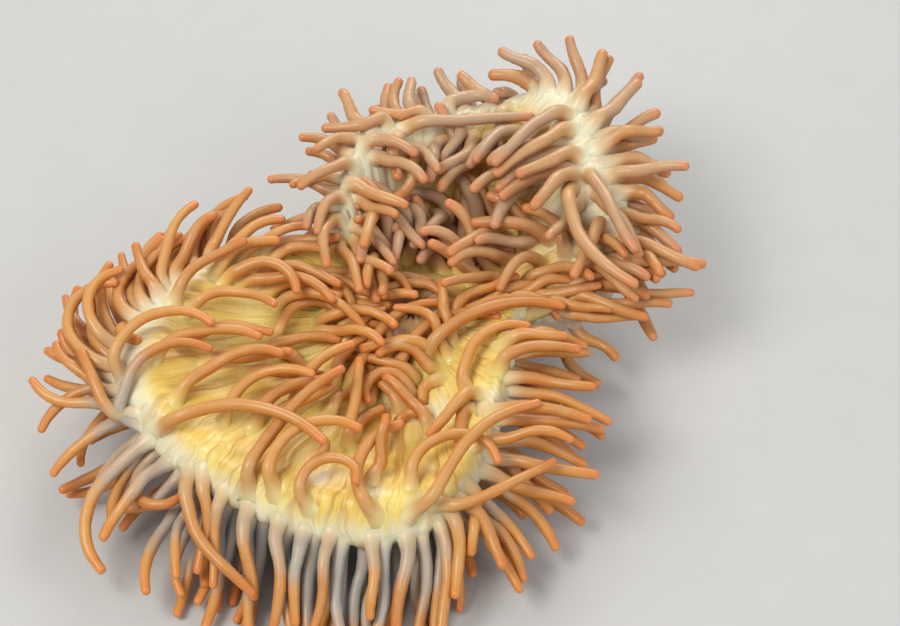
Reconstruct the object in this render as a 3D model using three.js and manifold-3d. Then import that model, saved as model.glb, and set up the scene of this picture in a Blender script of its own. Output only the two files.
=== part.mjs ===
// A magnificent sea anemone, life size, as a still model.
//
// Millimetres, +Z up. The origin is the middle of the pedal disc, on the floor it sits on; the
// viewer stands on the -Y side. The body is one folded sheet of surface, given by rings round the
// animal: from the throat over the oral disc to the wavy margin, and down the column to the foot.
// It is parted by thin cuts into pedal disc, column, oral disc, mouth and the sectors of the crown,
// and each tentacle is joined to the sector that it grows from.
import * as THREE from 'three';
import Module from 'manifold-3d';

// ---------------------------------------------------------------- driving dimensions

const CUT = 0.5;                // width of the thin cuts between two pieces
const LEAST_GAP = 0.28;         // pieces closer than this are trimmed apart
const CLOSED_GAP = 0.02;        // a gap that smoothing has closed to this is trimmed once more
const TRIMMED_GAP = 0.3;        // to this width
const SMOOTHING = 0.15;         // slivers of the joins are smoothed away up to this
const CORE_TOP = 26;            // height at which the column ends and the oral disc begins
const CORE_RADIUS = 26;         // and the radius of the disc's core where it stands on the column
const PEDAL_TOP = 4;            // height of the pedal disc

// the foot and column: ring centre x, y, radius, height
const COLUMN = [
  [4, 8, 46, 26],               // top of the column, where the underside of the disc starts
  [2, 4, 42, 13],               // waist
  [0, 0, 49, 4],                // spread above the foot
  [0, 0, 52, 1.5],              // edge of the pedal disc
  [0, 0, 50.5, 0],              // the flat it rests on
  [0, 0, 0, 0],
];

// the mouth and throat: radius and height against MOUTH_HEIGHT
const DISC_CENTRE = [13, 20];
const MOUTH_HEIGHT = 46;
const MOUTH = [[3, -12], [7, -1], [12, 3]];
const PIT = { radius: 6, floor: MOUTH_HEIGHT - 17 };    // the bottom of the plug in the disc

// the disc: share of the way out to the margin, and of the rise from mouth to crest
const DISC_OUT = [0.32, 0.60, 0.82, 0.94];
const DISC_RISE = [0.05, 0.40, 0.88, 1];
const VALLEY_SHARE = [1, 1, 0.55];
const VALLEYS = [
  { x: 0, y: -44, wide: 26, deep: 22 },
  { x: 40, y: 78, wide: 30, deep: 20 },
];

// the underside of the margin
const UNDER_REACH = 0.955;
const UNDER_DROP = 11;

// the wavy margin, counter-clockwise from the right-hand notch:
// heading about the disc's centre (degrees), reach, height of the rim, roll of the crest above it
const MARGIN = [
  [346, 57, 52, 6], [356, 84, 48, 6], [6, 106, 52, 5], [17, 118, 66, 4], [30, 119, 82, 4],
  [43, 130, 90, 4], [56, 139, 88, 4], [70, 127, 76, 4], [88, 107, 76, 4], [105, 90, 83, 4],
  [123, 66, 80, 4], [140, 53, 66, 5], [156, 67, 58, 5], [168, 89, 62, 4], [180, 112, 67, 4],
  [191, 135, 66, 5], [202, 152, 59, 7], [214, 152, 50, 10], [226, 147, 42, 13], [238, 143, 37, 15],
  [251, 141, 35, 16], [265, 138, 35, 15], [279, 126, 38, 13], [292, 101, 43, 11], [306, 79, 49, 9],
  [326, 62, 53, 7],
];
const STATIONS = MARGIN.length;

// where the rings lie along the skin; a place on the body is (station, ring)
const RING_AT = [0, 11, 17, 38, 68, 92, 104, 112, 122, 150, 185, 205, 220, 225, 228, 276];

// the pieces of the body
const OUTER_SECTORS = 12;       // pieces of the margin
const INNER_SECTORS = 6;        // pieces of the disc inside it
const DISC_EDGE = 2.4;          // ring where the bare oral disc ends
const CROWN_EDGE = 5.2;         // ring that parts the inner from the outer crown, on top
const CROWN_UNDER = 8.7;        // and on the underside

// tentacles
const LINKS = 6;                // straight lengths that a tentacle's course is worked out in
const ROOT_RADIUS = 3.7;
const ROOT_BURIED = 1.5;        // depth of a root's middle below the skin
const ROOT_LEAN = 0.9;          // how much the first length stands away from the skin
const LATE_TURN = 1.4;          // above 1 a tentacle turns more towards its tip
const TAPER = [1, 0.90, 0.86, 0.84, 0.80, 0.74, 0.62];
const BACK_FATTER = 0.22;       // those of the back lobes are this much thicker
const ROOM = 8.4;               // distance kept between two roots
const AIR = 1.0;                // gap kept between two tentacles
const CLEAR_OF_BODY = 0.9;
const FLOOR_GAP = 1.5;
const SETTLING_ROUNDS = 80;
const SAME_STRING = 2.2;        // beads of one tentacle nearer than this many radii don't push
const EASE = 0.25;              // share of its neighbours' move that a joint takes over
const PULL_HOME = 0.995;        // share of a move that is kept from round to round
const LENGTH_FIX = 0.6;         // share of a wrong length put right in one round
const BAND_BEND = 55;           // bend, in degrees, that one stretch of a tube takes
const TIP_ROUND = 0.8;          // length of the rounded tip, in radii
const SQUARENESS = 1.1;         // a tube's corners stand this much outside its round section

// ---------------------------------------------------------------- rows of tentacles

// A row runs along the body from its first tentacle to its last: name, how many, station, ring,
// length, heading at the root, heading at the tip (degrees, 0 is +X and 90 is +Y), and the pitch
// at the root and at the tip. A pair goes from the first tentacle of the row to the last.
const ROWS = [
  // left lobe, outside
  ['left_curl', 3, [16.0, 15.1], [7.1, 7.0], [74, 50], [165, 135], [5, 30], 12, 6],
  ['left_loop', 1, 14.9, 7.4, 38, 215, 340, 14, 2],
  ['left_out', 2, [16.4, 16.2], [7.2, 7.6], [50, 44], [192, 172], [140, 150], 2, 4],
  ['left_fan', 4, [15.7, 14.4], [7.9, 8.1], [72, 66], [150, 104], [66, 40], -2, 4],
  ['left_low', 3, [16.1, 17.3], [8.0, 8.0], [54, 60], [200, 200], [282, 160], -30, -8],
  ['left_drop', 1, 17.0, 7.2, 76, 212, 312, -22, -14],
  ['left_hook', 1, 17.3, 7.7, 54, 225, 400, -12, 6],
  ['left_side', 2, [17.8, 18.1], [7.3, 8.0], [44, 62], [228, 235], [165, 290], -15, -12],
  // front, hanging over the rim
  ['front_sweep', 1, 17.9, 6.9, 74, 285, 325, -18, -22],
  ['front_hang', 8, [18.5, 22.0], [7.3, 7.4], 66, [268, 262], [272, 262], -40, -22],
  ['front_under', 5, [18.3, 21.8], 8.3, [60, 56], [255, 275], [250, 268], -30, -6],
  ['front_corner', 4, [22.1, 22.5], [7.4, 8.2], [48, 50], [-30, -62], [-70, -66], -14, -26],
  // right-hand rim of the front lobe
  ['right_long', 1, 21.4, 6.4, 90, 62, 24, 22, -4],
  ['right_sweep', 1, 21.8, 6.4, 64, 10, 40, 8, 4],
  ['right_rim', 4, [22.9, 25.0], [6.9, 6.4], [58, 40], [-4, 2], [-22, 2], 4, -10],
  ['right_under', 3, [23.0, 24.8], [8.2, 7.9], [58, 40], [-18, -12], [-50, -20], -14, -18],
  // arching in over the disc
  ['disc_arc', 2, [16.1, 16.9], [6.7, 7.1], [78, 76], [88, 90], [-40, -25], 26, -10],
  ['disc_long', 1, 17.3, 6.4, 94, 20, -45, 14, -6],
  ['disc_left', 4, [14.2, 16.9], [4.9, 5.3], [50, 64], [20, 62], [-62, -38], 22, -8],
  ['disc_flat', 3, [15.8, 16.9], [4.9, 4.2], [48, 40], [10, 2], [0, -4], 8, -6],
  ['disc_inner', 3, [17.8, 18.4], [5.0, 4.3], [56, 38], [66, 45], [-30, 36], 20, -6],
  ['disc_front', 3, [19.0, 19.9], [6.4, 6.1], [84, 56], [70, 98], [28, -110], 24, -8],
  ['disc_middle', 1, 20.9, 6.2, 62, 122, 10, 20, 0],
  ['disc_over', 1, 21.4, 5.2, 68, 80, -85, 34, -26],
  ['disc_stubs', 3, [19.1, 20.6], [3.8, 4.2], [24, 26], [60, 66], [56, 60], 24, 4],
  ['disc_short', 2, [19.6, 20.8], [4.9, 5.0], [22, 32], [70, 68], [66, 70], 50, 20],
  ['band_down', 2, [23.3, 23.0], [4.8, 4.6], [38, 30], [222, 256], [226, 258], 8, -4],
  ['band_up', 1, 23.2, 4.5, 58, 84, -12, 24, -6],
  // round the mouth
  ['centre_fat', 1, 14.8, 2.8, 50, 66, -62, 26, -16],
  ['centre_arch', 3, [18.8, 22.2], [3.2, 2.7], [72, 82], [92, 44], [-20, -10], 22, -4],
  ['centre_mid', 4, [17.4, 21.2], [3.0, 3.5], [34, 38], [50, 100], [20, 150], 28, 0],
  ['centre_hook', 1, 21.4, 3.3, 48, 104, 310, 20, -8],
  ['centre_small', 2, [21.8, 22.7], 3.5, 20, [165, 196], [235, 205], 26, 4],
  ['notch_arc', 2, [16.0, 16.6], [3.4, 3.7], [48, 28], [86, -14], [-50, -28], 18, -8],
  // left lobe, far side
  ['top_left_out', 3, [14.9, 13.9], [7.0, 7.6], [52, 68], 92, [30, 12], 10, 4],
  ['top_left_back', 2, [14.7, 13.9], 8.1, [60, 58], [104, 88], [66, 48], -6, 4],
  ['top_left_in', 4, [13.7, 13.4], [6.3, 4.7], [50, 38], [66, 40], [44, -25], 14, -2],
  ['top_left_short', 2, [14.6, 13.6], [6.6, 7.0], [34, 38], [122, 84], [116, 70], 14, 6],
  ['notch_row', 3, [14.0, 13.0], [4.7, 4.5], [58, 32], [2, 20], [-30, -14], 12, -4],
  // back lobes
  ['back_left_out', 5, [10.5, 8.4], [6.7, 7.0], [30, 34], [215, 88], [268, 80], 8, 8],
  ['back_left_in', 3, [10.5, 9.3], [5.3, 5.8], [38, 34], [-50, -20], [-54, -24], 6, -10],
  ['back_left_low', 2, [11.2, 9.4], 4.2, [36, 40], [-60, -30], [-64, -44], 10, -8],
  ['back_top', 4, [8.1, 6.4], [7.0, 7.2], 30, [100, 150], [92, 170], 26, 10],
  ['back_loop', 1, 7.6, 6.5, 36, 52, -60, 16, -6],
  ['back_cross', 1, 8.3, 5.8, 72, 8, -8, 8, 0],
  ['back_down', 3, [8.4, 6.6], [5.4, 5.5], 34, [275, 262], [268, 258], 4, -10],
  ['right_top_out', 5, [6.1, 5.0], [6.9, 7.2], [36, 42], [135, 62], [150, 52], 18, 22],
  ['right_top_in', 4, [5.4, 4.5], [5.6, 5.0], [60, 42], [220, 205], [226, 224], 4, -8],
  ['back_fill', 3, [6.9, 3.6], [4.6, 4.2], [42, 44], [236, 176], [242, 190], 34, -2],
  ['right_fan', 5, [4.7, 2.7], 7.0, [32, 34], [14, -70], [-4, -76], 10, -6],
  ['right_fan_low', 3, [4.4, 2.4], 8.0, [40, 42], [-6, -62], [-20, -76], -8, -10],
  ['right_fall', 3, [4.4, 3.8], [5.0, 5.6], [78, 50], [272, 290], [318, 304], 6, -8],
  ['back_tall', 1, 6.4, 3.0, 92, 84, 122, 56, 10],
  ['back_up_left', 4, [5.4, 2.9], [2.9, 4.6], [46, 36], [130, 120], [176, 162], 60, 2],
  ['back_hook', 1, 4.6, 2.8, 34, 50, -20, 34, 4],
  ['right_low', 5, [2.7, 0.8], [5.4, 6.8], [54, 40], [-18, -8], [-24, -4], 20, -10],
  ['right_low_in', 3, [1.6, 0.4], [4.2, 4.8], [44, 34], [0, 10], [-14, -6], 30, -6],
];
// how far one tentacle may stray from its row: station, ring, share of length, headings, pitches
const STRAY = { station: 0.08, ring: 0.18, length: 0.07, root: 7, tip: 12, pitch: 5 };

// ---------------------------------------------------------------- the skin of the body

const V = (x, y, z) => new THREE.Vector3(x, y, z);
const lerp = THREE.MathUtils.lerp;
const clamp = THREE.MathUtils.clamp;
const rad = THREE.MathUtils.degToRad;

// each margin station as x and y from the disc's centre, rim height and roll
const RIM = MARGIN.map(([heading, reach, height, roll]) => [
  reach * Math.cos(rad(heading)), reach * Math.sin(rad(heading)), height, roll,
]);

// the rim at any station, on one closed smooth curve
function rimAt(station) {
  const i = Math.floor(station);
  const t = station - i;
  const [a, b, c, d] = [-1, 0, 1, 2].map((k) => RIM[(i + k + STATIONS * 2) % STATIONS]);
  return b.map((_, k) => b[k] + (t / 2) * (c[k] - a[k] + t * (2 * a[k] - 5 * b[k] + 4 * c[k] - d[k]
    + t * (3 * (b[k] - c[k]) + d[k] - a[k]))));
}

// how far the valleys sink the disc at x, y
function valley(x, y) {
  return VALLEYS.reduce((sum, { x: cx, y: cy, wide, deep }) =>
    sum + deep * Math.exp(-((x - cx) ** 2 + (y - cy) ** 2) / wide ** 2), 0);
}

// the points of all the rings at one station, from the throat to the middle of the foot
function rings(station) {
  const [ox, oy, height, roll] = rimAt(station);
  const reach = Math.hypot(ox, oy);
  const [ex, ey] = [ox / reach, oy / reach];
  const [cx, cy] = DISC_CENTRE;
  const crest = height + roll;
  const points = MOUTH.map(([r, z]) => V(cx + ex * r, cy + ey * r, MOUTH_HEIGHT + z));
  DISC_OUT.forEach((share, k) => {
    const [x, y] = [cx + ox * share, cy + oy * share];
    const sunk = (VALLEY_SHARE[k] ?? 0) * valley(x, y);
    points.push(V(x, y, lerp(MOUTH_HEIGHT, crest, DISC_RISE[k]) - sunk));
  });
  points.push(V(cx + ox, cy + oy, height));
  const under = V(cx + ox * UNDER_REACH, cy + oy * UNDER_REACH, height - UNDER_DROP);
  const column = COLUMN.map(([x, y, r, z]) => V(x + ex * r, y + ey * r, z));
  const between = under.clone().lerp(column[0], 0.5).setZ((under.z + CORE_TOP) / 2 - 1);
  return [...points, under, between, ...column];
}

// a point of the skin: the rings at its station, joined by a smooth curve
const ringCache = new Map();
function skin(station, ring) {
  const key = station.toFixed(6);
  if (!ringCache.has(key)) {
    const p = rings(station);
    const gap = RING_AT.slice(1).map((at, k) => at - RING_AT[k]);
    const slope = gap.map((g, k) => p[k + 1].clone().sub(p[k]).divideScalar(g));
    const tangent = p.map((_, k) => {
      if (k === 0) return slope[0];
      if (k === p.length - 1) return slope[k - 1];
      return slope[k - 1].clone().multiplyScalar(gap[k]).addScaledVector(slope[k], gap[k - 1])
        .divideScalar(gap[k - 1] + gap[k]);
    });
    ringCache.set(key, { p, gap, tangent });
  }
  const { p, gap, tangent } = ringCache.get(key);
  const k = clamp(Math.floor(ring), 0, gap.length - 1);
  const t = ring - k;
  const point = p[k].clone().multiplyScalar(2 * t ** 3 - 3 * t ** 2 + 1)
    .addScaledVector(tangent[k], (t ** 3 - 2 * t ** 2 + t) * gap[k])
    .addScaledVector(p[k + 1], 3 * t ** 2 - 2 * t ** 3)
    .addScaledVector(tangent[k + 1], (t ** 3 - t ** 2) * gap[k]);
  return point.setZ(Math.max(point.z, 0));
}

// how the skin runs along the stations and along the rings, and its outward normal
function skinFrame(station, ring) {
  const e = 0.02;
  const low = clamp(ring - e, 0, RING_AT.length - 1);
  const high = clamp(ring + e, 0, RING_AT.length - 1);
  const along = skin(station + e, ring).sub(skin(station - e, ring));
  const across = skin(station, high).sub(skin(station, low));
  const normal = across.clone().cross(along).normalize();
  return { along: along.divideScalar(2 * e), across: across.divideScalar(high - low), normal };
}

// ---------------------------------------------------------------- the tentacles' courses

// an even scatter between 0 and 1, the same on every run
function scatter(tentacle, quality) {
  const x = Math.sin(tentacle * 12.9898 + quality * 78.233) * 43758.5453;
  return x - Math.floor(x);
}

// every tentacle of the rows, each a little off the even spacing of its row
function growTentacles() {
  const all = [];
  for (const [name, count, ...measures] of ROWS) {
    for (let i = 0; i < count; i += 1) {
      const share = count > 1 ? i / (count - 1) : 0;
      const [station, ring, length, root, tip, rootPitch, tipPitch] = measures.map((m) =>
        (Array.isArray(m) ? lerp(m[0], m[1], share) : m));
      const id = all.length;
      const stray = (quality, most) => (count > 1 ? (scatter(id, quality) - 0.5) * 2 * most : 0);
      all.push({
        name: `${name}_${i + 1}`,
        station: station + stray(1, STRAY.station),
        ring: ring + stray(2, STRAY.ring),
        length: length * (1 + stray(3, STRAY.length)),
        root: root + stray(4, STRAY.root),
        tip: tip + stray(5, STRAY.tip),
        rootPitch: rootPitch + stray(6, STRAY.pitch),
        tipPitch: tipPitch + stray(7, STRAY.pitch),
      });
    }
  }
  return all;
}

// how much thicker the tentacles at a station are
const fatness = (station) => 1 + BACK_FATTER * Math.exp(-(((station - 6) / 3.2) ** 2));

// roots closer than the room they need move apart over the skin
function spreadRoots(all) {
  const rounds = 30;
  const ease = 0.35;
  const longestStep = { station: 0.1, ring: 0.12 };
  const rootRings = [2.7, 8.5];
  for (let round = 0; round < rounds; round += 1) {
    const places = all.map((t) => skin(t.station, t.ring));
    const fat = all.map((t) => fatness(t.station));
    all.forEach((t, i) => {
      const move = V(0, 0, 0);
      places.forEach((other, j) => {
        const apart = places[i].clone().sub(other);
        const distance = apart.length();
        const need = ROOM * 0.5 * (fat[i] + fat[j]);
        if (i !== j && distance < need) {
          move.addScaledVector(apart, ease * (need / (distance + 1e-6) - 1));
        }
      });
      const { along, across } = skinFrame(t.station, t.ring);
      const dStation = clamp(move.dot(along) / along.lengthSq(),
        -longestStep.station, longestStep.station);
      const dRing = clamp(move.dot(across) / across.lengthSq(),
        -longestStep.ring, longestStep.ring);
      Object.assign(t, { nextStation: t.station + dStation, nextRing: t.ring + dRing });
    });
    for (const t of all) {
      t.station = t.nextStation;
      t.ring = clamp(t.nextRing, ...rootRings);
    }
  }
  all.forEach(offTheCuts);
}

// a root stands clear of the thin cuts, within the sector that it is in
function offTheCuts(t) {
  const { along, across } = skinFrame(t.station, t.ring);
  const keep = ROOT_RADIUS * fatness(t.station) + CUT;
  const side = t.ring < CROWN_EDGE ? -1 : 1;
  const fromEdge = Math.max(Math.abs(t.ring - CROWN_EDGE), keep / across.length());
  t.ring = CROWN_EDGE + side * fromEdge;
  const span = STATIONS / (side < 0 ? INNER_SECTORS : OUTER_SECTORS);
  const sector = Math.floor(t.station / span);
  const margin = Math.min(keep / along.length(), span / 2);
  t.station = clamp(t.station, sector * span + margin, (sector + 1) * span - margin);
}

// the joints of a tentacle as it would lie with nothing in its way
function course(t) {
  const { normal } = skinFrame(t.station, t.ring);
  const joints = [skin(t.station, t.ring).addScaledVector(normal, -ROOT_BURIED)];
  for (let k = 0; k < LINKS; k += 1) {
    const share = (k + 0.5) / LINKS;
    const heading = rad(lerp(t.root, t.tip, share ** LATE_TURN));
    const pitch = rad(lerp(t.rootPitch, t.tipPitch, share));
    const way = V(Math.cos(heading) * Math.cos(pitch), Math.sin(heading) * Math.cos(pitch),
      Math.sin(pitch));
    if (k === 0) way.addScaledVector(normal, ROOT_LEAN).normalize();
    joints.push(joints[k].clone().addScaledVector(way, t.length / LINKS));
  }
  return joints;
}

const taperAt = (share) => {
  const k = Math.min(Math.floor(share * LINKS), LINKS - 1);
  return lerp(TAPER[k], TAPER[k + 1], share * LINKS - k);
};
const radiusAt = (t, share) => ROOT_RADIUS * fatness(t.station) * taperAt(share);

// Every tentacle is a string of beads, one on each joint and one midway. Beads that come too close
// push each other apart, the skin and the floor push them off, and the strings keep their lengths
// and stay near the courses they were given.
function settle(all) {
  const beadsEach = 2 * LINKS + 1;
  const relisted = 8;           // rounds between two searches for neighbours
  const searched = 4;           // how far past touching the search looks
  const skinGrid = { stations: 104, rings: 40, from: 0.5, to: 14 };
  const skinReach = 9;          // a bead further than this sideways from a sample isn't pushed
  const samples = [];
  for (let i = 0; i < skinGrid.stations; i += 1) {
    for (let j = 0; j < skinGrid.rings; j += 1) {
      const station = (i / skinGrid.stations) * STATIONS;
      const ring = lerp(skinGrid.from, skinGrid.to, j / (skinGrid.rings - 1));
      samples.push({ at: skin(station, ring), normal: skinFrame(station, ring).normal });
    }
  }
  const given = all.map((t) => t.joints.map((p) => p.clone()));
  const beads = all.flatMap((t, owner) => Array.from({ length: beadsEach }, (_, k) => ({
    owner,
    k,
    radius: radiusAt(t, k / 2 / LINKS),
    spacing: t.length / LINKS / 2,
    free: clamp((k - 1) / 4, 0, 1),
    at: V(0, 0, 0),
  })));
  let pairs = [];
  for (let round = 0; round < SETTLING_ROUNDS; round += 1) {
    for (const b of beads) {
      const { joints } = all[b.owner];
      b.at.copy(joints[Math.floor(b.k / 2)]);
      if (b.k % 2) b.at.lerp(joints[(b.k + 1) / 2], 0.5);
      b.push = V(0, 0, 0);
      b.pushes = 0;
    }
    if (round % relisted === 0) {
      pairs = closePairs(beads, searched);
      for (const b of beads) {
        b.nearest = samples.reduce((best, s) => {
          const d = s.at.distanceToSquared(b.at);
          return d < best.d ? { d, s } : best;
        }, { d: Infinity }).s;
      }
    }
    for (const [a, b] of pairs) {
      const apart = a.at.clone().sub(b.at);
      const distance = apart.length() + 1e-9;
      const over = a.radius + b.radius + AIR - distance;
      if (over > 0) {
        const both = Math.max(a.free + b.free, 1e-9);
        a.push.addScaledVector(apart, (over / distance) * (a.free / both));
        b.push.addScaledVector(apart, (-over / distance) * (b.free / both));
        a.pushes += 1;
        b.pushes += 1;
      }
    }
    for (const b of beads) {
      const from = b.at.clone().sub(b.nearest.at);
      const height = from.dot(b.nearest.normal);
      const sideways = from.addScaledVector(b.nearest.normal, -height).length();
      const deep = Math.min(b.radius + CLEAR_OF_BODY - height, 6);
      if (deep > 0 && b.k >= 3 && sideways < skinReach) {
        b.push.addScaledVector(b.nearest.normal, deep);
        b.pushes += 1;
      }
      const low = b.radius + FLOOR_GAP - b.at.z;
      if (low > 0) {
        b.push.z += low;
        b.pushes += 1;
      }
      b.push.divideScalar(Math.max(b.pushes, 1));
    }
    all.forEach((t, owner) => {
      const own = beads.slice(owner * beadsEach, (owner + 1) * beadsEach);
      moveJoints(t, own, given[owner], round === SETTLING_ROUNDS - 1);
    });
  }
}

// pairs of beads near enough to touch soon, leaving out neighbours on one string and two roots
function closePairs(beads, searched) {
  const pairs = [];
  for (let i = 0; i < beads.length; i += 1) {
    for (let j = i + 1; j < beads.length; j += 1) {
      const [a, b] = [beads[i], beads[j]];
      const reach = a.radius + b.radius + AIR + searched;
      if (Math.abs(a.at.x - b.at.x) > reach || a.at.distanceToSquared(b.at) > reach ** 2) continue;
      if (a.k < 3 && b.k < 3) continue;
      const alongString = Math.abs(a.k - b.k) * a.spacing;
      if (a.owner === b.owner && alongString <= SAME_STRING * (a.radius + b.radius)) continue;
      pairs.push([a, b]);
    }
  }
  return pairs;
}

// one tentacle's joints follow its beads; its shape is smoothed and its lengths are kept
function moveJoints(t, own, given, lastRound) {
  const moved = t.joints.map((p, k) => {
    const parts = [own[2 * k - 1], own[2 * k], own[2 * k + 1]].filter((b) => b && b.push.lengthSq());
    const mean = parts.reduce((sum, b) => sum.add(b.push), V(0, 0, 0));
    return mean.divideScalar(Math.max(parts.length, 1)).add(p).sub(given[k]);
  });
  moved[0].set(0, 0, 0);
  const smoothed = moved.map((d, k) => {
    if (k === 0) return V(0, 0, 0);
    const [before, after] = [moved[k - 1], moved[k + 1] ?? d];
    return d.clone().lerp(before.clone().lerp(after, 0.5), EASE).multiplyScalar(PULL_HOME);
  });
  t.joints = given.map((p, k) => p.clone().add(smoothed[k]));
  for (let k = 0; k < LINKS; k += 1) {
    const link = t.joints[k + 1].clone().sub(t.joints[k]);
    const fix = link.multiplyScalar((t.length / LINKS / (link.length() + 1e-9) - 1)
      * (lastRound ? 1 : LENGTH_FIX));
    for (let m = k + 1; m <= LINKS; m += 1) t.joints[m].add(fix);
  }
}

// ---------------------------------------------------------------- solids

const wasm = await Module();
wasm.setup();

// a closed solid from points and triangles, its faces turned outwards
function solid(points, triangles) {
  const volume = triangles.reduce((sum, [a, b, c]) =>
    sum + points[a].dot(points[b].clone().cross(points[c])), 0);
  const turned = volume > 0 ? triangles : triangles.map(([a, b, c]) => [a, c, b]);
  return new wasm.Manifold(new wasm.Mesh({
    numProp: 3,
    vertProperties: Float32Array.from(points.flatMap((p) => p.toArray())),
    triVerts: Uint32Array.from(turned.flat()),
  }));
}

// the triangles that fill an outline which stands upright on a line out from the disc's centre
function filling(outline) {
  const out = outline[0].clone().setZ(0).sub(V(...DISC_CENTRE, 0)).normalize();
  const flat = outline.map((p) => new THREE.Vector2(p.dot(out), p.z));
  const way = Math.sign(THREE.ShapeUtils.area(flat));
  return THREE.ShapeUtils.triangulateShape(flat, []).map(([a, b, c]) =>
    (Math.sign(THREE.ShapeUtils.area([flat[a], flat[b], flat[c]])) === way ? [a, b, c] : [a, c, b]));
}

// the end of a loft: a fan to a middle point, or the triangles of a filling
function endCap(n, firstIndex, points, end) {
  if (Array.isArray(end)) return end.map((triangle) => triangle.map((k) => firstIndex + k));
  points.push(end);
  return Array.from({ length: n }, (_, j) =>
    [points.length - 1, firstIndex + j, firstIndex + ((j + 1) % n)]);
}

// like closed outlines joined one to the next, with both ends closed
function loft(loops, first, last) {
  const n = loops[0].length;
  const points = loops.flat();
  const triangles = [];
  for (let i = 0; i < loops.length - 1; i += 1) {
    for (let j = 0; j < n; j += 1) {
      const [a, b] = [i * n + j, i * n + ((j + 1) % n)];
      triangles.push([a, b, b + n], [a, b + n, a + n]);
    }
  }
  const start = endCap(n, 0, points, first);
  const end = endCap(n, (loops.length - 1) * n, points, last);
  return solid(points, [...triangles, ...start.map(([a, b, c]) => [a, c, b]), ...end]);
}

// ---------------------------------------------------------------- pieces of the body

const radially = (station, distance) => {
  const [ox, oy] = rimAt(station);
  return V(ox, oy, 0).setLength(Math.abs(distance)).multiplyScalar(Math.sign(distance));
};

// a sector between two stations, with the outline that it has at each
function sector(from, to, steps, outlineAt) {
  const loops = Array.from({ length: steps + 1 }, (_, k) => {
    const station = lerp(from, to, k / steps);
    const side = radially(station, 1);
    const inward = V(-side.y, side.x, 0);
    const shift = (k === 0 ? CUT / 2 : 0) - (k === steps ? CUT / 2 : 0);
    return outlineAt(station).map((p) => p.addScaledVector(inward, shift));
  });
  return loft(loops, filling(outlineAt(from)), filling(outlineAt(to)));
}

// a piece that goes all the way round, from a profile of rows of points
function roundPiece(columns, rows, first, last) {
  return loft(rows.map((row) => Array.from({ length: columns }, (_, j) =>
    row((j / columns) * STATIONS))), first, last);
}

const COLUMNS = 36;             // stretches round the disc, shared by all the crown's pieces
const RING_CUT = 0.04;          // the same cut, in rings
const OUTER_RINGS = [CROWN_EDGE, 5.8, 6.3, 6.8, 7.3, 8.0, CROWN_UNDER];
const INNER_RINGS = [10, 9.2, CROWN_UNDER + RING_CUT, CROWN_EDGE - RING_CUT, 4.2, 3.2, DISC_EDGE];
const [CX, CY] = DISC_CENTRE;

// where the inner crown ends below, round the core of the oral disc
function coreFoot(station, clear = 0) {
  const [x, y] = COLUMN[0];
  return V(x, y, CORE_TOP).add(radially(station, CORE_RADIUS - clear));
}

function outerSector(k) {
  const span = STATIONS / OUTER_SECTORS;
  return sector(k * span, (k + 1) * span, COLUMNS / OUTER_SECTORS, (station) =>
    OUTER_RINGS.map((ring) => skin(station, ring)));
}

function innerSector(k) {
  const span = STATIONS / INNER_SECTORS;
  return sector(k * span, (k + 1) * span, COLUMNS / INNER_SECTORS, (station) =>
    [coreFoot(station), ...INNER_RINGS.map((ring) => skin(station, ring))]);
}

// the lips and the start of the throat, as a plug that sits in the oral disc
function mouth() {
  const low = (s) => V(CX, CY, PIT.floor).add(radially(s, PIT.radius));
  return roundPiece(20, [(s) => skin(s, 0), (s) => skin(s, 1), (s) => skin(s, 2), low],
    V(CX, CY, MOUTH_HEIGHT + MOUTH[0][1]), V(CX, CY, PIT.floor));
}

// the bare disc round the mouth and the core under it, a cone that the inner crown stands on
function oralDisc() {
  const pit = (s) => V(CX, CY, PIT.floor - CUT).add(radially(s, PIT.radius + 2 * CUT));
  const lip = (s) => skin(s, 2).add(radially(s, 1.5 * CUT));
  const edge = (s) => skin(s, DISC_EDGE).add(radially(s, -2 * CUT));
  const foot = (s) => coreFoot(s, 2 * CUT);
  return roundPiece(COLUMNS, [pit, lip, edge, foot], V(CX, CY, PIT.floor - CUT),
    V(COLUMN[0][0], COLUMN[0][1], CORE_TOP));
}

function column() {
  const top = CORE_TOP - CUT;
  const bottom = PEDAL_TOP + CUT / 2;
  const rows = [(s) => skin(s, 10).setZ(top), (s) => skin(s, 11), (s) => skin(s, 12).setZ(bottom)];
  return roundPiece(26, rows, V(COLUMN[0][0], COLUMN[0][1], top), V(0, 0, bottom));
}

function pedalDisc() {
  const top = PEDAL_TOP - CUT / 2;
  const rows = [(s) => skin(s, 12).setZ(top), (s) => skin(s, 13), (s) => skin(s, 14)];
  return roundPiece(26, rows, V(0, 0, top), V(0, 0, 0));
}

// ---------------------------------------------------------------- tentacle solids

// a four-sided tube along the settled course, with more stretches where it bends more
function tentacleTube(t) {
  const { normal } = skinFrame(t.station, t.ring);
  const buried = t.joints[0].clone().addScaledVector(normal, -ROOT_BURIED);
  const curve = new THREE.CatmullRomCurve3([buried, ...t.joints.slice(1)]);
  const links = t.joints.slice(1).map((p, k) => p.clone().sub(t.joints[k]));
  const turns = links.slice(1).reduce((sum, link, k) => sum + link.angleTo(links[k]), 0);
  const bands = clamp(Math.round(turns / rad(BAND_BEND)) + 1, 2, 3);
  const frames = curve.computeFrenetFrames(bands, false);
  const tipRound = TIP_ROUND * radiusAt(t, 1) / t.length;
  const loops = frames.tangents.map((_, i) => {
    const share = i < bands ? i / bands : 1 - tipRound;
    const centre = curve.getPointAt(share);
    const r = radiusAt(t, share) * SQUARENESS;
    return [[1, 0], [0, 1], [-1, 0], [0, -1]].map(([a, b]) => centre.clone()
      .addScaledVector(frames.normals[i], a * r)
      .addScaledVector(frames.binormals[i], b * r));
  });
  return loft(loops, buried, t.joints.at(-1));
}

// ---------------------------------------------------------------- the model

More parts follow.
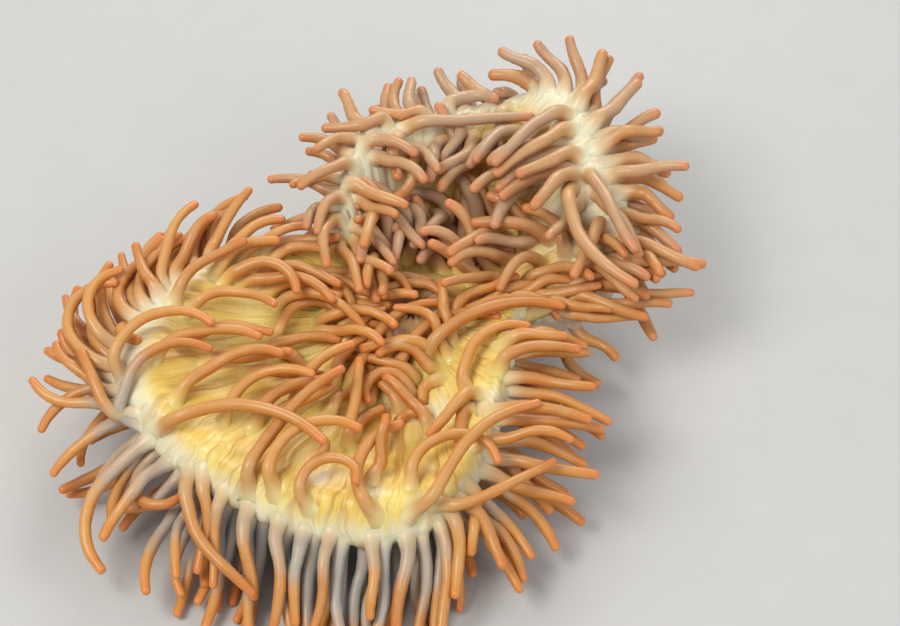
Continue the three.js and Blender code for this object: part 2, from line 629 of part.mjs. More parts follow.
const skinColour = {
  foot: '#8a5a58',
  column: '#9c6a63',
  disc: '#e9cf8a',
  inner: '#d89a58',
  outer: '#cf9457',
  mouth: '#c9a27e',
};
const flesh = (colour) => new THREE.MeshStandardMaterial({
  color: colour, roughness: 0.45, metalness: 0,
});

const tentacles = growTentacles();
spreadRoots(tentacles);
for (const t of tentacles) t.joints = course(t);
settle(tentacles);

const numbered = (name, k) => `${name}_${String(k + 1).padStart(2, '0')}`;
const pieces = [
  { name: 'pedal_disc', colour: skinColour.foot, body: pedalDisc() },
  { name: 'column', colour: skinColour.column, body: column() },
  { name: 'oral_disc', colour: skinColour.disc, body: oralDisc() },
  { name: 'mouth', colour: skinColour.mouth, body: mouth() },
];
for (let k = 0; k < INNER_SECTORS; k += 1) {
  pieces.push({ name: numbered('inner_crown', k), colour: skinColour.inner, body: innerSector(k) });
}
for (let k = 0; k < OUTER_SECTORS; k += 1) {
  pieces.push({ name: numbered('outer_crown', k), colour: skinColour.outer, body: outerSector(k) });
}

// a solid with some width added all round, made of copies of it set off six ways
function roomRound(body, width) {
  const ways = [[0, 0, 0], [1, 0, 0], [-1, 0, 0], [0, 1, 0], [0, -1, 0], [0, 0, 1], [0, 0, -1]];
  return wasm.Manifold.union(ways.map((way) => body.translate(way.map((x) => x * width))));
}
const near = (a, b, gap = LEAST_GAP) => a.minGap(b, 1) < gap;
const biggest = (body) => body.decompose().sort((a, b) => b.volume() - a.volume())[0];
pieces.forEach((piece, i) => {
  for (const earlier of pieces.slice(0, i)) {
    if (near(piece.body, earlier.body)) piece.body = piece.body.subtract(earlier.room);
  }
  piece.room = roomRound(piece.body, CUT);
});

// the piece that a tentacle grows from
function pieceOf({ station, ring }) {
  const round = ((station % STATIONS) + STATIONS) % STATIONS / STATIONS;
  return ring < CROWN_EDGE
    ? numbered('inner_crown', Math.floor(round * INNER_SECTORS))
    : numbered('outer_crown', Math.floor(round * OUTER_SECTORS));
}

// a tentacle gives way to the other pieces and to the tentacles before it
tentacles.forEach((t, i) => {
  t.piece = pieceOf(t);
  t.tube = tentacleTube(t);
  for (const p of pieces) {
    if (p.name !== t.piece && near(t.tube, p.body)) t.tube = t.tube.subtract(p.room);
  }
  for (const other of tentacles.slice(0, i)) {
    if (other.piece !== t.piece && near(t.tube, other.tube)) {
      t.tube = t.tube.subtract(roomRound(other.tube, CUT));
    }
  }
});

// each piece with its tentacles becomes one body; where smoothing has brought two of them too close
// together, the later one is trimmed once more
const anemone = new THREE.Group();
pieces.forEach((piece, i) => {
  const own = tentacles.filter((t) => t.piece === piece.name).map((t) => t.tube);
  const joined = biggest(wasm.Manifold.union([piece.body, ...own]));
  piece.whole = joined.asOriginal().simplify(SMOOTHING);
  for (const earlier of pieces.slice(0, i)) {
    if (near(piece.whole, earlier.whole, CLOSED_GAP)) {
      piece.whole = biggest(piece.whole.subtract(roomRound(earlier.whole, TRIMMED_GAP)));
    }
  }
  const { vertProperties, triVerts } = piece.whole.getMesh();
  const geometry = new THREE.BufferGeometry();
  geometry.setAttribute('position', new THREE.BufferAttribute(vertProperties, 3));
  geometry.setIndex(new THREE.BufferAttribute(triVerts, 1));
  geometry.computeVertexNormals();
  const mesh = new THREE.Mesh(geometry, flesh(piece.colour));
  mesh.name = piece.name;
  anemone.add(mesh);
});

export default anemone;
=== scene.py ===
import bpy
import numpy as np
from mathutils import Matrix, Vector


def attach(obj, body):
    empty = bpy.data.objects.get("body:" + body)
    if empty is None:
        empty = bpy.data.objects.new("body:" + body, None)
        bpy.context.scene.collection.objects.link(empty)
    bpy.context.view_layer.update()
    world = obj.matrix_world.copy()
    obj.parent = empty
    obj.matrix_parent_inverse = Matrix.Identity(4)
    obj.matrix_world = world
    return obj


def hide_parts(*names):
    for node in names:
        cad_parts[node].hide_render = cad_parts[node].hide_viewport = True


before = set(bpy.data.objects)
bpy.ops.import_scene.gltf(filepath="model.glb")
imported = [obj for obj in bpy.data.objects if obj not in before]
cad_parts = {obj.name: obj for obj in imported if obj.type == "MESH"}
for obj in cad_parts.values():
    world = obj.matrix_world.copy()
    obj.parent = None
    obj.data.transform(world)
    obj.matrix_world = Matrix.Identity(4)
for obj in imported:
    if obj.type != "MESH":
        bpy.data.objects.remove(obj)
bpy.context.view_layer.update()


# ---------------------------------------------------------------- the body
# A sea anemone's body is a soft sac of translucent flesh: a pedal disc that clings to the ground,
# a short column, and an oral disc far wider than the column, thrown into deep folds. One unbroken
# skin is grown from throat to sole, so it has no joints.

DISC_CENTRE = np.array([13.0, 20.0])    # millimetres, like every size of this file
MOUTH_HEIGHT = 46.0
# rings of the mouth: radius, height over the mouth
MOUTH_RINGS = [(3.0, -12.0), (7.0, -1.0), (12.0, 3.0)]
# rings of the disc: share of the way to the rim, of the rise to its crest, of a valley's depth
DISC_RINGS = [(0.32, 0.05, 1.0), (0.60, 0.40, 1.0), (0.82, 0.88, 0.55), (0.94, 1.0, 0.0)]
# valleys between the lobes: x, y, width, depth
VALLEYS = [(0.0, -44.0, 26.0, 22.0), (40.0, 78.0, 30.0, 20.0)]
# the ring under the rim: share of the way to the rim, and how far it lies below
UNDER_REACH = 0.955
UNDER_DROP = 11.0
# rings of the column and the foot: x, y, radius, height
COLUMN_RINGS = [(4, 8, 46, 26), (2, 4, 42, 13), (0, 0, 49, 4), (0, 0, 52, 1.5), (0, 0, 50.5, 0),
                (0, 0, 0, 0)]
# how far along the skin each ring lies, from the throat to the middle of the sole
RING_AT = np.array([0, 11, 17, 38, 68, 92, 104, 112, 122, 150, 185, 205, 220, 225, 228, 276.0])
LAST_RING = len(RING_AT) - 1
# the wavy margin: heading about the disc's centre, reach, height of the rim, roll of its crest
MARGIN = np.array([
    [346, 57, 52, 6], [356, 84, 48, 6], [6, 106, 52, 5], [17, 118, 66, 4], [30, 119, 82, 4],
    [43, 130, 90, 4], [56, 139, 88, 4], [70, 127, 76, 4], [88, 107, 76, 4], [105, 90, 83, 4],
    [123, 66, 80, 4], [140, 53, 66, 5], [156, 67, 58, 5], [168, 89, 62, 4], [180, 112, 67, 4],
    [191, 135, 66, 5], [202, 152, 59, 7], [214, 152, 50, 10], [226, 147, 42, 13],
    [238, 143, 37, 15], [251, 141, 35, 16], [265, 138, 35, 15], [279, 126, 38, 13],
    [292, 101, 43, 11], [306, 79, 49, 9], [326, 62, 53, 7]], float)
STATIONS = len(MARGIN)
heading = np.radians(MARGIN[:, 0])
RIM = np.column_stack([MARGIN[:, 1] * np.cos(heading), MARGIN[:, 1] * np.sin(heading),
                       MARGIN[:, 2], MARGIN[:, 3]])


def curve_point(a, b, c, d, t):
    """A Catmull-Rom curve from b to c, at t from 0 to 1. a and d are its neighbours."""
    return b + t / 2 * (c - a + t * (2 * a - 5 * b + 4 * c - d + t * (3 * (b - c) + d - a)))


def rim_at(station):
    """The rim's x, y, height and roll: a closed Catmull-Rom curve through the margin's rows."""
    station = np.asarray(station, float)
    i = np.floor(station).astype(int)
    t = (station - i)[..., None]
    return curve_point(*(RIM[(i + k) % STATIONS] for k in (-1, 0, 1, 2)), t)


def body_rings(station):
    """The sixteen ring points at each station: throat, disc, rim, underside, column and sole."""
    rim = rim_at(station)
    off, height, roll = rim[..., :2], rim[..., 2], rim[..., 3]
    reach = np.linalg.norm(off, axis=-1)
    out = off / reach[..., None]
    crest = height + roll

    def at(xy, z):
        return np.concatenate([xy + 0 * off, (z + 0 * reach)[..., None]], -1)

    points = [at(DISC_CENTRE + out * r, MOUTH_HEIGHT + z) for r, z in MOUTH_RINGS]
    for share, rise, sunk in DISC_RINGS:
        xy = DISC_CENTRE + off * share
        z = MOUTH_HEIGHT + (crest - MOUTH_HEIGHT) * rise
        for x, y, wide, deep in VALLEYS:
            near = np.exp(-((xy[..., 0] - x) ** 2 + (xy[..., 1] - y) ** 2) / wide ** 2)
            z = z - sunk * deep * near
        points.append(at(xy, z))
    points.append(at(DISC_CENTRE + off, height))
    points.append(at(DISC_CENTRE + off * UNDER_REACH, height - UNDER_DROP))
    column = [at(np.array([x, y]) + out * r, z) for x, y, r, z in COLUMN_RINGS]
    between = 0.5 * (points[-1] + column[0])
    between[..., 2] = 0.5 * (points[-1][..., 2] + column[0][..., 2]) - 1
    return np.stack(points + [between] + column, -2)


def skin(station, ring):
    """A point of the body: the ring points of its station joined by a smooth cubic curve."""
    station, ring = np.broadcast_arrays(np.asarray(station, float), np.asarray(ring, float))
    p = body_rings(station)
    gap = np.diff(RING_AT)[:, None]
    slope = np.diff(p, axis=-2) / gap
    tangent = np.concatenate([
        slope[..., :1, :],
        (slope[..., :-1, :] * gap[1:] + slope[..., 1:, :] * gap[:-1]) / (gap[1:] + gap[:-1]),
        slope[..., -1:, :]], -2)
    k = np.clip(np.floor(ring).astype(int), 0, len(gap) - 1)
    t = (ring - k)[..., None]
    h = gap[k]

    def take(rows, i):
        return np.take_along_axis(rows, (i[..., None, None] + np.zeros(3, int)), -2)[..., 0, :]

    point = ((2 * t ** 3 - 3 * t ** 2 + 1) * take(p, k)
             + (t ** 3 - 2 * t ** 2 + t) * h * take(tangent, k)
             + (3 * t ** 2 - 2 * t ** 3) * take(p, k + 1)
             + (t ** 3 - t ** 2) * h * take(tangent, k + 1))
    point[..., 2] = np.maximum(point[..., 2], 0)
    return point


def skin_frame(station, ring):
    """How the skin runs per station and per ring, and its outward normal, from small steps."""
    e = 0.02
    low, high = np.clip(ring - e, 0, LAST_RING), np.clip(ring + e, 0, LAST_RING)
    along = (skin(station + e, ring) - skin(station - e, ring)) / (2 * e)
    across = (skin(station, high) - skin(station, low)) / (high - low)[..., None]
    normal = np.cross(across, along)
    normal /= np.linalg.norm(normal, axis=-1, keepdims=True) + 1e-12
    return along, across, normal


def smooth(x, start, end):
    """0 before start, 1 after end, and an even S between them."""
    t = np.clip((x - start) / (end - start), 0, 1)
    return t * t * (3 - 2 * t)


def skin_mesh(name, points, marks, finish):
    """A mesh from tubes of rings, points[tube, ring, side] in millimetres. The first and the last
    ring of each tube are drawn together into one closing point. marks are values per point."""
    tubes, rings, sides = points.shape[:3]
    each = (rings - 2) * sides + 2

    def per_vertex(values):
        values = np.asarray(values, float)
        tail = values.shape[3:]
        ends = values[:, [0, -1]].mean(2)
        middle = values[:, 1:-1].reshape((tubes, -1) + tail)
        return np.concatenate([middle, ends], 1).reshape((-1,) + tail)

    k = np.arange(rings - 3)[:, None]
    j = np.arange(sides)[None]
    a, b = k * sides + j, k * sides + (j + 1) % sides
    quads = np.stack([a, b, b + sides, a + sides], -1).reshape(-1, 4)
    near, far = (rings - 3) * sides + j[0], (rings - 3) * sides + (j[0] + 1) % sides
    first = np.stack([0 * j[0] + each - 2, (j[0] + 1) % sides, j[0]], -1)
    last = np.stack([0 * j[0] + each - 1, near, far], -1)
    shift = (np.arange(tubes) * each)[:, None, None]
    quads = (quads[None] + shift).reshape(-1, 4)
    caps = (np.concatenate([first, last])[None] + shift).reshape(-1, 3)

    vertices = per_vertex(points) / 1000
    corners = vertices[caps]
    p, q, r, s = (vertices[quads[:, i]] for i in range(4))
    volume = ((np.cross(q - p, r - p) * (p + q + r)).sum()
              + (np.cross(r - p, s - p) * (p + r + s)).sum())
    volume += (np.cross(corners[:, 1] - corners[:, 0], corners[:, 2] - corners[:, 0])
               * corners.sum(1)).sum()
    if volume < 0:                      # inside out: turn every face round
        quads, caps = quads[:, ::-1], caps[:, ::-1]
    mesh = bpy.data.meshes.new(name)
    mesh.vertices.add(len(vertices))
    mesh.vertices.foreach_set("co", vertices.ravel())
    loops = np.concatenate([quads.ravel(), caps.ravel()])
    mesh.loops.add(len(loops))
    mesh.loops.foreach_set("vertex_index", loops.astype(np.int32))
    mesh.polygons.add(len(quads) + len(caps))
    starts = np.concatenate([np.arange(len(quads)) * 4, quads.size + np.arange(len(caps)) * 3])
    mesh.polygons.foreach_set("loop_start", starts.astype(np.int32))
    mesh.update(calc_edges=True)
    mesh.validate()
    for mark, values in marks.items():
        values = per_vertex(values + np.zeros(points.shape[:3] + np.shape(values)[3:]))
        kind, field = ("FLOAT_VECTOR", "vector") if values.ndim == 2 else ("FLOAT", "value")
        layer = mesh.attributes.new(mark, kind, "POINT")
        layer.data.foreach_set(field, values.ravel().astype(np.float32))
    mesh.shade_smooth()
    mesh.materials.append(finish)
    piece = bpy.data.objects.new(name, mesh)
    bpy.context.scene.collection.objects.link(piece)
    return piece


class Line:
    """One output socket of a finish. Arithmetic on it adds Math nodes."""

    def __init__(self, finish, socket):
        self.finish = finish
        self.socket = socket

    def math(self, operation, *others):
        inputs = dict(enumerate([self, *others]))
        return self.finish.node("Math", {"operation": operation}, inputs)

    def __add__(self, other):
        return self.math("ADD", other)

    def __sub__(self, other):
        return self.math("SUBTRACT", other)

    def __rsub__(self, other):
        return (self * -1).math("ADD", other)

    def __mul__(self, other):
        return self.math("MULTIPLY", other)

    __radd__ = __add__
    __rmul__ = __mul__

    def held(self, low=0.0, high=1.0):
        """The value kept between low and high."""
        return self.math("MAXIMUM", low).math("MINIMUM", high)

    def steps(self, start, end):
        """An even S from 0 at start to 1 at end."""
        return self.finish.node("MapRange", {"interpolation_type": "SMOOTHSTEP"},
                                {0: self, 1: start, 2: end, 3: 0.0, 4: 1.0})


class Finish:
    """A material in the making. node() adds any node: its type, its settings, its sockets."""

    def __init__(self, name):
        self.material = bpy.data.materials.new(name)
        self.material.use_nodes = True
        self.tree = self.material.node_tree
        self.tree.nodes.clear()

    def node(self, kind, settings=None, sockets=None, out=0):
        made = self.tree.nodes.new("ShaderNode" + kind)
        for setting, value in (settings or {}).items():
            if setting == "stops":
                while len(made.color_ramp.elements) < len(value):
                    made.color_ramp.elements.new(1.0)
                for element, (at, colour) in zip(made.color_ramp.elements, value):
                    element.position = at
                    element.color = (*colour, 1)
            else:
                setattr(made, setting, value)
        for socket, value in (sockets or {}).items():
            if isinstance(value, Line):
                self.tree.links.new(value.socket, made.inputs[socket])
            else:
                made.inputs[socket].default_value = value
        return Line(self, made.outputs[out])

    def mark(self, name, out=2):
        """A value stored on the mesh: its number, or with out=1 its vector."""
        return self.node("Attribute", {"attribute_name": name}, out=out)

    def mix(self, share, a, b, blend="MIX"):
        """Colour a, turning into colour b as the share goes from 0 to 1."""
        a, b = (colour if isinstance(colour, Line) else (*colour, 1) for colour in (a, b))
        return self.node("Mix", {"data_type": "RGBA", "blend_type": blend}, {0: share, 6: a, 7: b},
                         out=2)

    def noise(self, place, scale, detail=3.0, roughness=0.5):
        """Noise of that scale, with as many finer layers as detail says."""
        return self.node("TexNoise", {}, {"Vector": place, "Scale": scale, "Detail": detail,
                                          "Roughness": roughness})

    def done(self, colour, roughness, normal, **constants):
        """The Principled shader, with what changes over the surface and the constant values."""
        made = self.node("BsdfPrincipled", {}, {
            "Base Color": colour, "Roughness": roughness, "Normal": normal,
            **{name.replace("_", " "): value for name, value in constants.items()}})
        output = self.tree.nodes.new("ShaderNodeOutputMaterial")
        self.tree.links.new(made.socket, output.inputs["Surface"])
        return self.material


def srgb(r, g, b):
    """A colour as it is given, 0 to 255, turned into the linear values shaders use."""
    c = np.array([r, g, b]) / 255
    return tuple(np.where(c < 0.04045, c / 12.92, ((c + 0.055) / 1.055) ** 2.4))


def body_finish():
    """Translucent moist skin. Marks on the mesh say where it is lip, disc, margin or column."""
    f = Finish("body_skin")
    ring = f.mark("ring")
    way = f.mark("way", 1)
    place = f.node("TexCoord", out=3)
    streak = f.noise(way, 40.0, 4.0, 0.62)
    fine = f.noise(way, 115.0, 3.0, 0.6)
    cloud = f.noise(place, 55.0, 4.0, 0.6)
    grain = f.noise(place, 900.0, 2.0, 0.5)

    yellow = f.mix(cloud.steps(0.35, 0.7), srgb(242, 210, 104), srgb(250, 230, 148))
    lined = f.mix((streak.steps(0.50, 0.64) * 0.75 + fine.steps(0.5, 0.68) * 0.35).held(),
                  yellow, srgb(208, 156, 66))
    # painted highlight: fine streaks of pale cream between the golden lines
    lined = f.mix(fine.steps(0.60, 0.76) * 0.35, lined, srgb(255, 246, 206))
    pale = f.mix(streak.steps(0.42, 0.66), srgb(242, 237, 208), srgb(226, 208, 160))
    # the whitish mark brings in the disc's own white band and blotches, and patches of painted
    # highlight
    feather = (f.mark("white") + (streak - 0.5) * 1.1 + (fine - 0.5) * 0.5).steps(0.20, 0.90)
    disc = f.mix(feather, lined, pale)
    membrane = f.mix(streak.steps(0.4, 0.65), srgb(150, 96, 82), srgb(206, 170, 150))
    disc = f.mix((f.mark("membrane") + (streak - 0.5) * 0.5).steps(0.35, 0.7), disc, membrane)
    lips = f.mix(fine.steps(0.4, 0.65), srgb(226, 190, 140), srgb(176, 120, 78))
    throat = f.mix(ring.steps(-0.6, 0.9), srgb(104, 52, 40), lips)
    disc = f.mix((ring + (streak - 0.5) * 0.8).steps(1.9, 2.7), throat, disc)

    flesh = f.mix(cloud.steps(0.35, 0.65), srgb(148, 104, 94), srgb(170, 130, 118))
    flesh = f.mix(streak.steps(0.5, 0.66) * 0.5, flesh, srgb(206, 180, 164))
    under = f.mix(ring.steps(7.6, 9.4), srgb(196, 180, 162), flesh)
    under = f.mix(f.mark("wart").steps(0.15, 0.6), under, srgb(222, 200, 184))
    under = f.mix(ring.steps(11.6, 12.8), under, srgb(132, 84, 80))
    colour = f.mix((ring + (streak - 0.5) * 0.6).steps(7.0, 7.6), disc, under)
    colour = f.mix(0.5, colour, f.mix(cloud, (0.80, 0.78, 0.76), (1.12, 1.10, 1.06)), "MULTIPLY")

    rough = 0.34 + cloud * 0.16 + (streak - 0.5) * 0.12
    height = streak * 0.6 + fine * 0.35 + grain * 0.08
    normal = f.node("Bump", {}, {"Strength": 0.55, "Distance": 0.0012, "Height": height})
    return f.done(colour, rough, normal, Subsurface_Weight=0.22, Subsurface_Scale=0.006,
                  Subsurface_Radius=(1.0, 0.45, 0.22), Coat_Weight=0.22, Coat_Roughness=0.18,
                  IOR=1.38)


WARTS_ROUND = 46            # warts in a row round the column
WARTS_FROM = 8.9            # ring at which their rows start
WARTS_DOWN = 6.5            # rows of them per ring


def wart_at(station, ring):
    """Rows of small warts down the column: bumps on a staggered net of rows and columns."""
    across = station / STATIONS * WARTS_ROUND
    down = (ring - WARTS_FROM) * WARTS_DOWN
    stagger = across + 0.5 * (np.floor(down) % 2)
    bump = (np.maximum(0, np.cos(2 * np.pi * stagger))
            * np.maximum(0, np.cos(2 * np.pi * (down - 0.5))))
    return bump ** 1.5 * smooth(ring, 9.0, 9.8) * (1 - smooth(ring, 11.7, 12.2))


THROAT_DEPTH = 7
BODY_COLUMNS = 400
# rows of the mesh, from the end of the throat at -1 to the middle of the sole; closest on the disc
body_rows = np.concatenate([
    np.linspace(-1, 0, 7)[:-1], np.linspace(0, 2, 13)[:-1], np.linspace(2, 7, 66)[:-1],
    np.linspace(7, 10, 33)[:-1], np.linspace(10, 12, 30)[:-1], np.linspace(12, 15, 16)])
body_station, body_ring = np.meshgrid(np.arange(BODY_COLUMNS) / BODY_COLUMNS * STATIONS, body_rows)


def body_surface(station, ring):
    """The skin with its relief: throat narrowing inwards, ribbed lips, fine folds running out over
    the disc, a scalloped margin and warts on the column, all set off along the normal."""
    point = skin(station, np.maximum(ring, 0))
    normal = skin_frame(station, np.clip(ring, 0.05, 14.5))[2]
    turn = station / STATIONS * 2 * np.pi
    ribs = 0.9 * np.cos(22 * turn) + 0.4 * np.cos(9 * turn + 1)
    lips = np.exp(-((ring - 1.3) / 0.7) ** 2) * ribs
    on_disc = smooth(ring, 2.0, 3.2) * (1 - smooth(ring, 6.6, 7.4))
    sway = np.sin(2.7 * ring + 5 * turn)
    folds = on_disc * (0.40 * np.sin(71 * turn + 0.8 * sway)
                       + 0.25 * np.sin(128 * turn + 1.2 * sway))
    scallop = np.exp(-((ring - 7.2) / 0.7) ** 2) * 0.8 * np.sin(92 * turn + np.sin(7 * turn))
    pleats = smooth(ring, 7.8, 8.8) * (1 - smooth(ring, 10.0, 11.0)) * 0.7 * np.sin(60 * turn)
    relief = lips + folds + scallop + pleats + 1.1 * wart_at(station, ring)
    relief = relief * (1 - smooth(ring, 12.3, 12.9))
    point = point + normal * relief[..., None]
    deep = np.minimum(ring, 0)[..., None]
    point[..., :2] = DISC_CENTRE + (point[..., :2] - DISC_CENTRE) * np.where(deep < 0, 1 + deep, 1)
    point[..., 2] += THROAT_DEPTH * deep[..., 0]
    point[..., 2] = np.maximum(point[..., 2], 0)
    return point


body_points = body_surface(body_station, body_ring)
rim = rim_at(body_station)
turned = np.arctan2(rim[..., 1], rim[..., 0])
wavy = turned + 0.012 * np.sin(2.7 * body_ring + 5 * turned)
wavy = wavy + 0.005 * np.sin(8.3 * body_ring - 9 * turned)
# where the streaks of the finish lie: long in the direction from the mouth to the rim
way = np.stack([np.cos(wavy), np.sin(wavy), body_ring * 0.009], -1)


def bump_at(x, centre, width):
    """A bell round a station, counted the short way round the body."""
    apart = (x - centre + STATIONS / 2) % STATIONS - STATIONS / 2
    return np.exp(-(apart / width) ** 2)


# whitish patches on the disc: partly its own white blotches, partly a painted highlight where the
# wet disc shines at the front
WHITE_AND_SHINE_PATCHES = [[26, -46, 13], [53, -50, 11], [-113, -8, 9], [-115, -66, 9], [-28, -93, 8],
                 [-4, -101, 8], [19, -108, 8], [30, -2, 7]]     # x, y, width


def paleness_and_shine(station, ring):
    """How whitish the disc is: a band along the margin, wide on the back lobes, and patches that
    are partly its own whitish blotches and partly a painted highlight of its wet shine.
    """
    back = np.maximum(bump_at(station, 9.2, 2.6), bump_at(station, 4.0, 2.6))
    left, front = bump_at(station, 15.2, 1.9), bump_at(station, 20.5, 2.6)
    starts = 6.35 - 2.3 * back - 0.9 * left + 0.1 * front
    pale = smooth(ring, starts - 0.8, starts + 0.8)
    point = skin(station, np.maximum(ring, 0))
    for x, y, width in WHITE_AND_SHINE_PATCHES:
        away = (point[..., 0] - x) ** 2 + (point[..., 1] - y) ** 2
        pale = np.maximum(pale, 0.8 * np.exp(-away / width ** 2) * (ring < 8))
    return pale * (1 - smooth(ring, 7.6, 8.4))


# the reddish bare skin in front of the mouth
membrane = np.exp(-((body_points[..., 0] + 2) ** 2 + (body_points[..., 1] + 10) ** 2) / 22 ** 2)
marks = {"ring": body_ring[None],
         "way": way[None],
         "white": paleness_and_shine(body_station, body_ring)[None],
         "membrane": membrane[None],
         "wart": wart_at(body_station, body_ring)[None]}
body = skin_mesh("body", body_points[None], marks, body_finish())
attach(body, "root")
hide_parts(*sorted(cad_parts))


# ---------------------------------------------------------------- the tentacles
# Hollow finger-like tentacles with blunt tips stand close together over the disc and its margin.
# Each grows out of the skin. They are filled with water, so they arch, cross and press each
# other aside, and the outer ones hang over the rim.

# A row runs along the body from its first tentacle to its last: name, how many, station, ring,
# length, heading at the root and at the tip, pitch at the root and at the tip, in degrees. A pair
# goes from the first tentacle of the row to the last.
ROWS = [
    # left lobe, outside
    ["left_curl", 3, [16.0, 15.1], [7.1, 7.0], [74, 50], [165, 135], [5, 30], 12, 6],
    ["left_loop", 1, 14.9, 7.4, 38, 215, 340, 14, 2],
    ["left_out", 2, [16.4, 16.2], [7.2, 7.6], [50, 44], [192, 172], [140, 150], 2, 4],
    ["left_fan", 4, [15.7, 14.4], [7.9, 8.1], [72, 66], [150, 104], [66, 40], -2, 4],
    ["left_low", 3, [16.1, 17.3], [8.0, 8.0], [54, 60], [200, 200], [282, 160], -30, -8],
    ["left_drop", 1, 17.0, 7.2, 76, 212, 312, -22, -14],
    ["left_hook", 1, 17.3, 7.7, 54, 225, 400, -12, 6],
    ["left_side", 2, [17.8, 18.1], [7.3, 8.0], [44, 62], [228, 235], [165, 290], -15, -12],
    # front, hanging over the rim
    ["front_sweep", 1, 17.9, 6.9, 74, 285, 325, -18, -22],
    ["front_hang", 8, [18.5, 22.0], [7.3, 7.4], 66, [268, 262], [272, 262], -40, -22],
    ["front_under", 5, [18.3, 21.8], 8.3, [60, 56], [255, 275], [250, 268], -30, -6],
    ["front_corner", 4, [22.1, 22.5], [7.4, 8.2], [48, 50], [-30, -62], [-70, -66], -14, -26],
    # right-hand rim of the front lobe
    ["right_long", 1, 21.4, 6.4, 90, 62, 24, 22, -4],
    ["right_sweep", 1, 21.8, 6.4, 64, 10, 40, 8, 4],
    ["right_rim", 4, [22.9, 25.0], [6.9, 6.4], [58, 40], [-4, 2], [-22, 2], 4, -10],
    ["right_under", 3, [23.0, 24.8], [8.2, 7.9], [58, 40], [-18, -12], [-50, -20], -14, -18],
    # arching in over the disc
    ["disc_arc", 2, [16.1, 16.9], [6.7, 7.1], [78, 76], [88, 90], [-40, -25], 26, -10],
    ["disc_long", 1, 17.3, 6.4, 94, 20, -45, 14, -6],
    ["disc_left", 4, [14.2, 16.9], [4.9, 5.3], [50, 64], [20, 62], [-62, -38], 22, -8],
    ["disc_flat", 3, [15.8, 16.9], [4.9, 4.2], [48, 40], [10, 2], [0, -4], 8, -6],
    ["disc_inner", 3, [17.8, 18.4], [5.0, 4.3], [56, 38], [66, 45], [-30, 36], 20, -6],
    ["disc_front", 3, [19.0, 19.9], [6.4, 6.1], [84, 56], [70, 98], [28, -110], 24, -8],
    ["disc_middle", 1, 20.9, 6.2, 62, 122, 10, 20, 0],
    ["disc_over", 1, 21.4, 5.2, 68, 80, -85, 34, -26],
    ["disc_stubs", 3, [19.1, 20.6], [3.8, 4.2], [24, 26], [60, 66], [56, 60], 24, 4],
    ["disc_short", 2, [19.6, 20.8], [4.9, 5.0], [22, 32], [70, 68], [66, 70], 50, 20],
    ["band_down", 2, [23.3, 23.0], [4.8, 4.6], [38, 30], [222, 256], [226, 258], 8, -4],
    ["band_up", 1, 23.2, 4.5, 58, 84, -12, 24, -6],
    # round the mouth
    ["centre_fat", 1, 14.8, 2.8, 50, 66, -62, 26, -16],
    ["centre_arch", 3, [18.8, 22.2], [3.2, 2.7], [72, 82], [92, 44], [-20, -10], 22, -4],
    ["centre_mid", 4, [17.4, 21.2], [3.0, 3.5], [34, 38], [50, 100], [20, 150], 28, 0],
    ["centre_hook", 1, 21.4, 3.3, 48, 104, 310, 20, -8],
    ["centre_small", 2, [21.8, 22.7], 3.5, 20, [165, 196], [235, 205], 26, 4],
    ["notch_arc", 2, [16.0, 16.6], [3.4, 3.7], [48, 28], [86, -14], [-50, -28], 18, -8],
    # left lobe, far side
    ["top_left_out", 3, [14.9, 13.9], [7.0, 7.6], [52, 68], 92, [30, 12], 10, 4],
    ["top_left_back", 2, [14.7, 13.9], 8.1, [60, 58], [104, 88], [66, 48], -6, 4],
    ["top_left_in", 4, [13.7, 13.4], [6.3, 4.7], [50, 38], [66, 40], [44, -25], 14, -2],
    ["top_left_short", 2, [14.6, 13.6], [6.6, 7.0], [34, 38], [122, 84], [116, 70], 14, 6],
    ["notch_row", 3, [14.0, 13.0], [4.7, 4.5], [58, 32], [2, 20], [-30, -14], 12, -4],
    # back lobes
    ["back_left_out", 5, [10.5, 8.4], [6.7, 7.0], [30, 34], [215, 88], [268, 80], 8, 8],
    ["back_left_in", 3, [10.5, 9.3], [5.3, 5.8], [38, 34], [-50, -20], [-54, -24], 6, -10],
    ["back_left_low", 2, [11.2, 9.4], 4.2, [36, 40], [-60, -30], [-64, -44], 10, -8],
    ["back_top", 4, [8.1, 6.4], [7.0, 7.2], 30, [100, 150], [92, 170], 26, 10],
    ["back_loop", 1, 7.6, 6.5, 36, 52, -60, 16, -6],
    ["back_cross", 1, 8.3, 5.8, 72, 8, -8, 8, 0],
    ["back_down", 3, [8.4, 6.6], [5.4, 5.5], 34, [275, 262], [268, 258], 4, -10],
    ["right_top_out", 5, [6.1, 5.0], [6.9, 7.2], [36, 42], [135, 62], [150, 52], 18, 22],
    ["right_top_in", 4, [5.4, 4.5], [5.6, 5.0], [60, 42], [220, 205], [226, 224], 4, -8],
    ["back_fill", 3, [6.9, 3.6], [4.6, 4.2], [42, 44], [236, 176], [242, 190], 34, -2],
    ["right_fan", 5, [4.7, 2.7], 7.0, [32, 34], [14, -70], [-4, -76], 10, -6],
    ["right_fan_low", 3, [4.4, 2.4], 8.0, [40, 42], [-6, -62], [-20, -76], -8, -10],
    ["right_fall", 3, [4.4, 3.8], [5.0, 5.6], [78, 50], [272, 290], [318, 304], 6, -8],
    ["back_tall", 1, 6.4, 3.0, 92, 84, 122, 56, 10],
    ["back_up_left", 4, [5.4, 2.9], [2.9, 4.6], [46, 36], [130, 120], [176, 162], 60, 2],
    ["back_hook", 1, 4.6, 2.8, 34, 50, -20, 34, 4],
    ["right_low", 5, [2.7, 0.8], [5.4, 6.8], [54, 40], [-18, -8], [-24, -4], 20, -10],
    ["right_low_in", 3, [1.6, 0.4], [4.2, 4.8], [44, 34], [0, 10], [-14, -6], 30, -6],
]
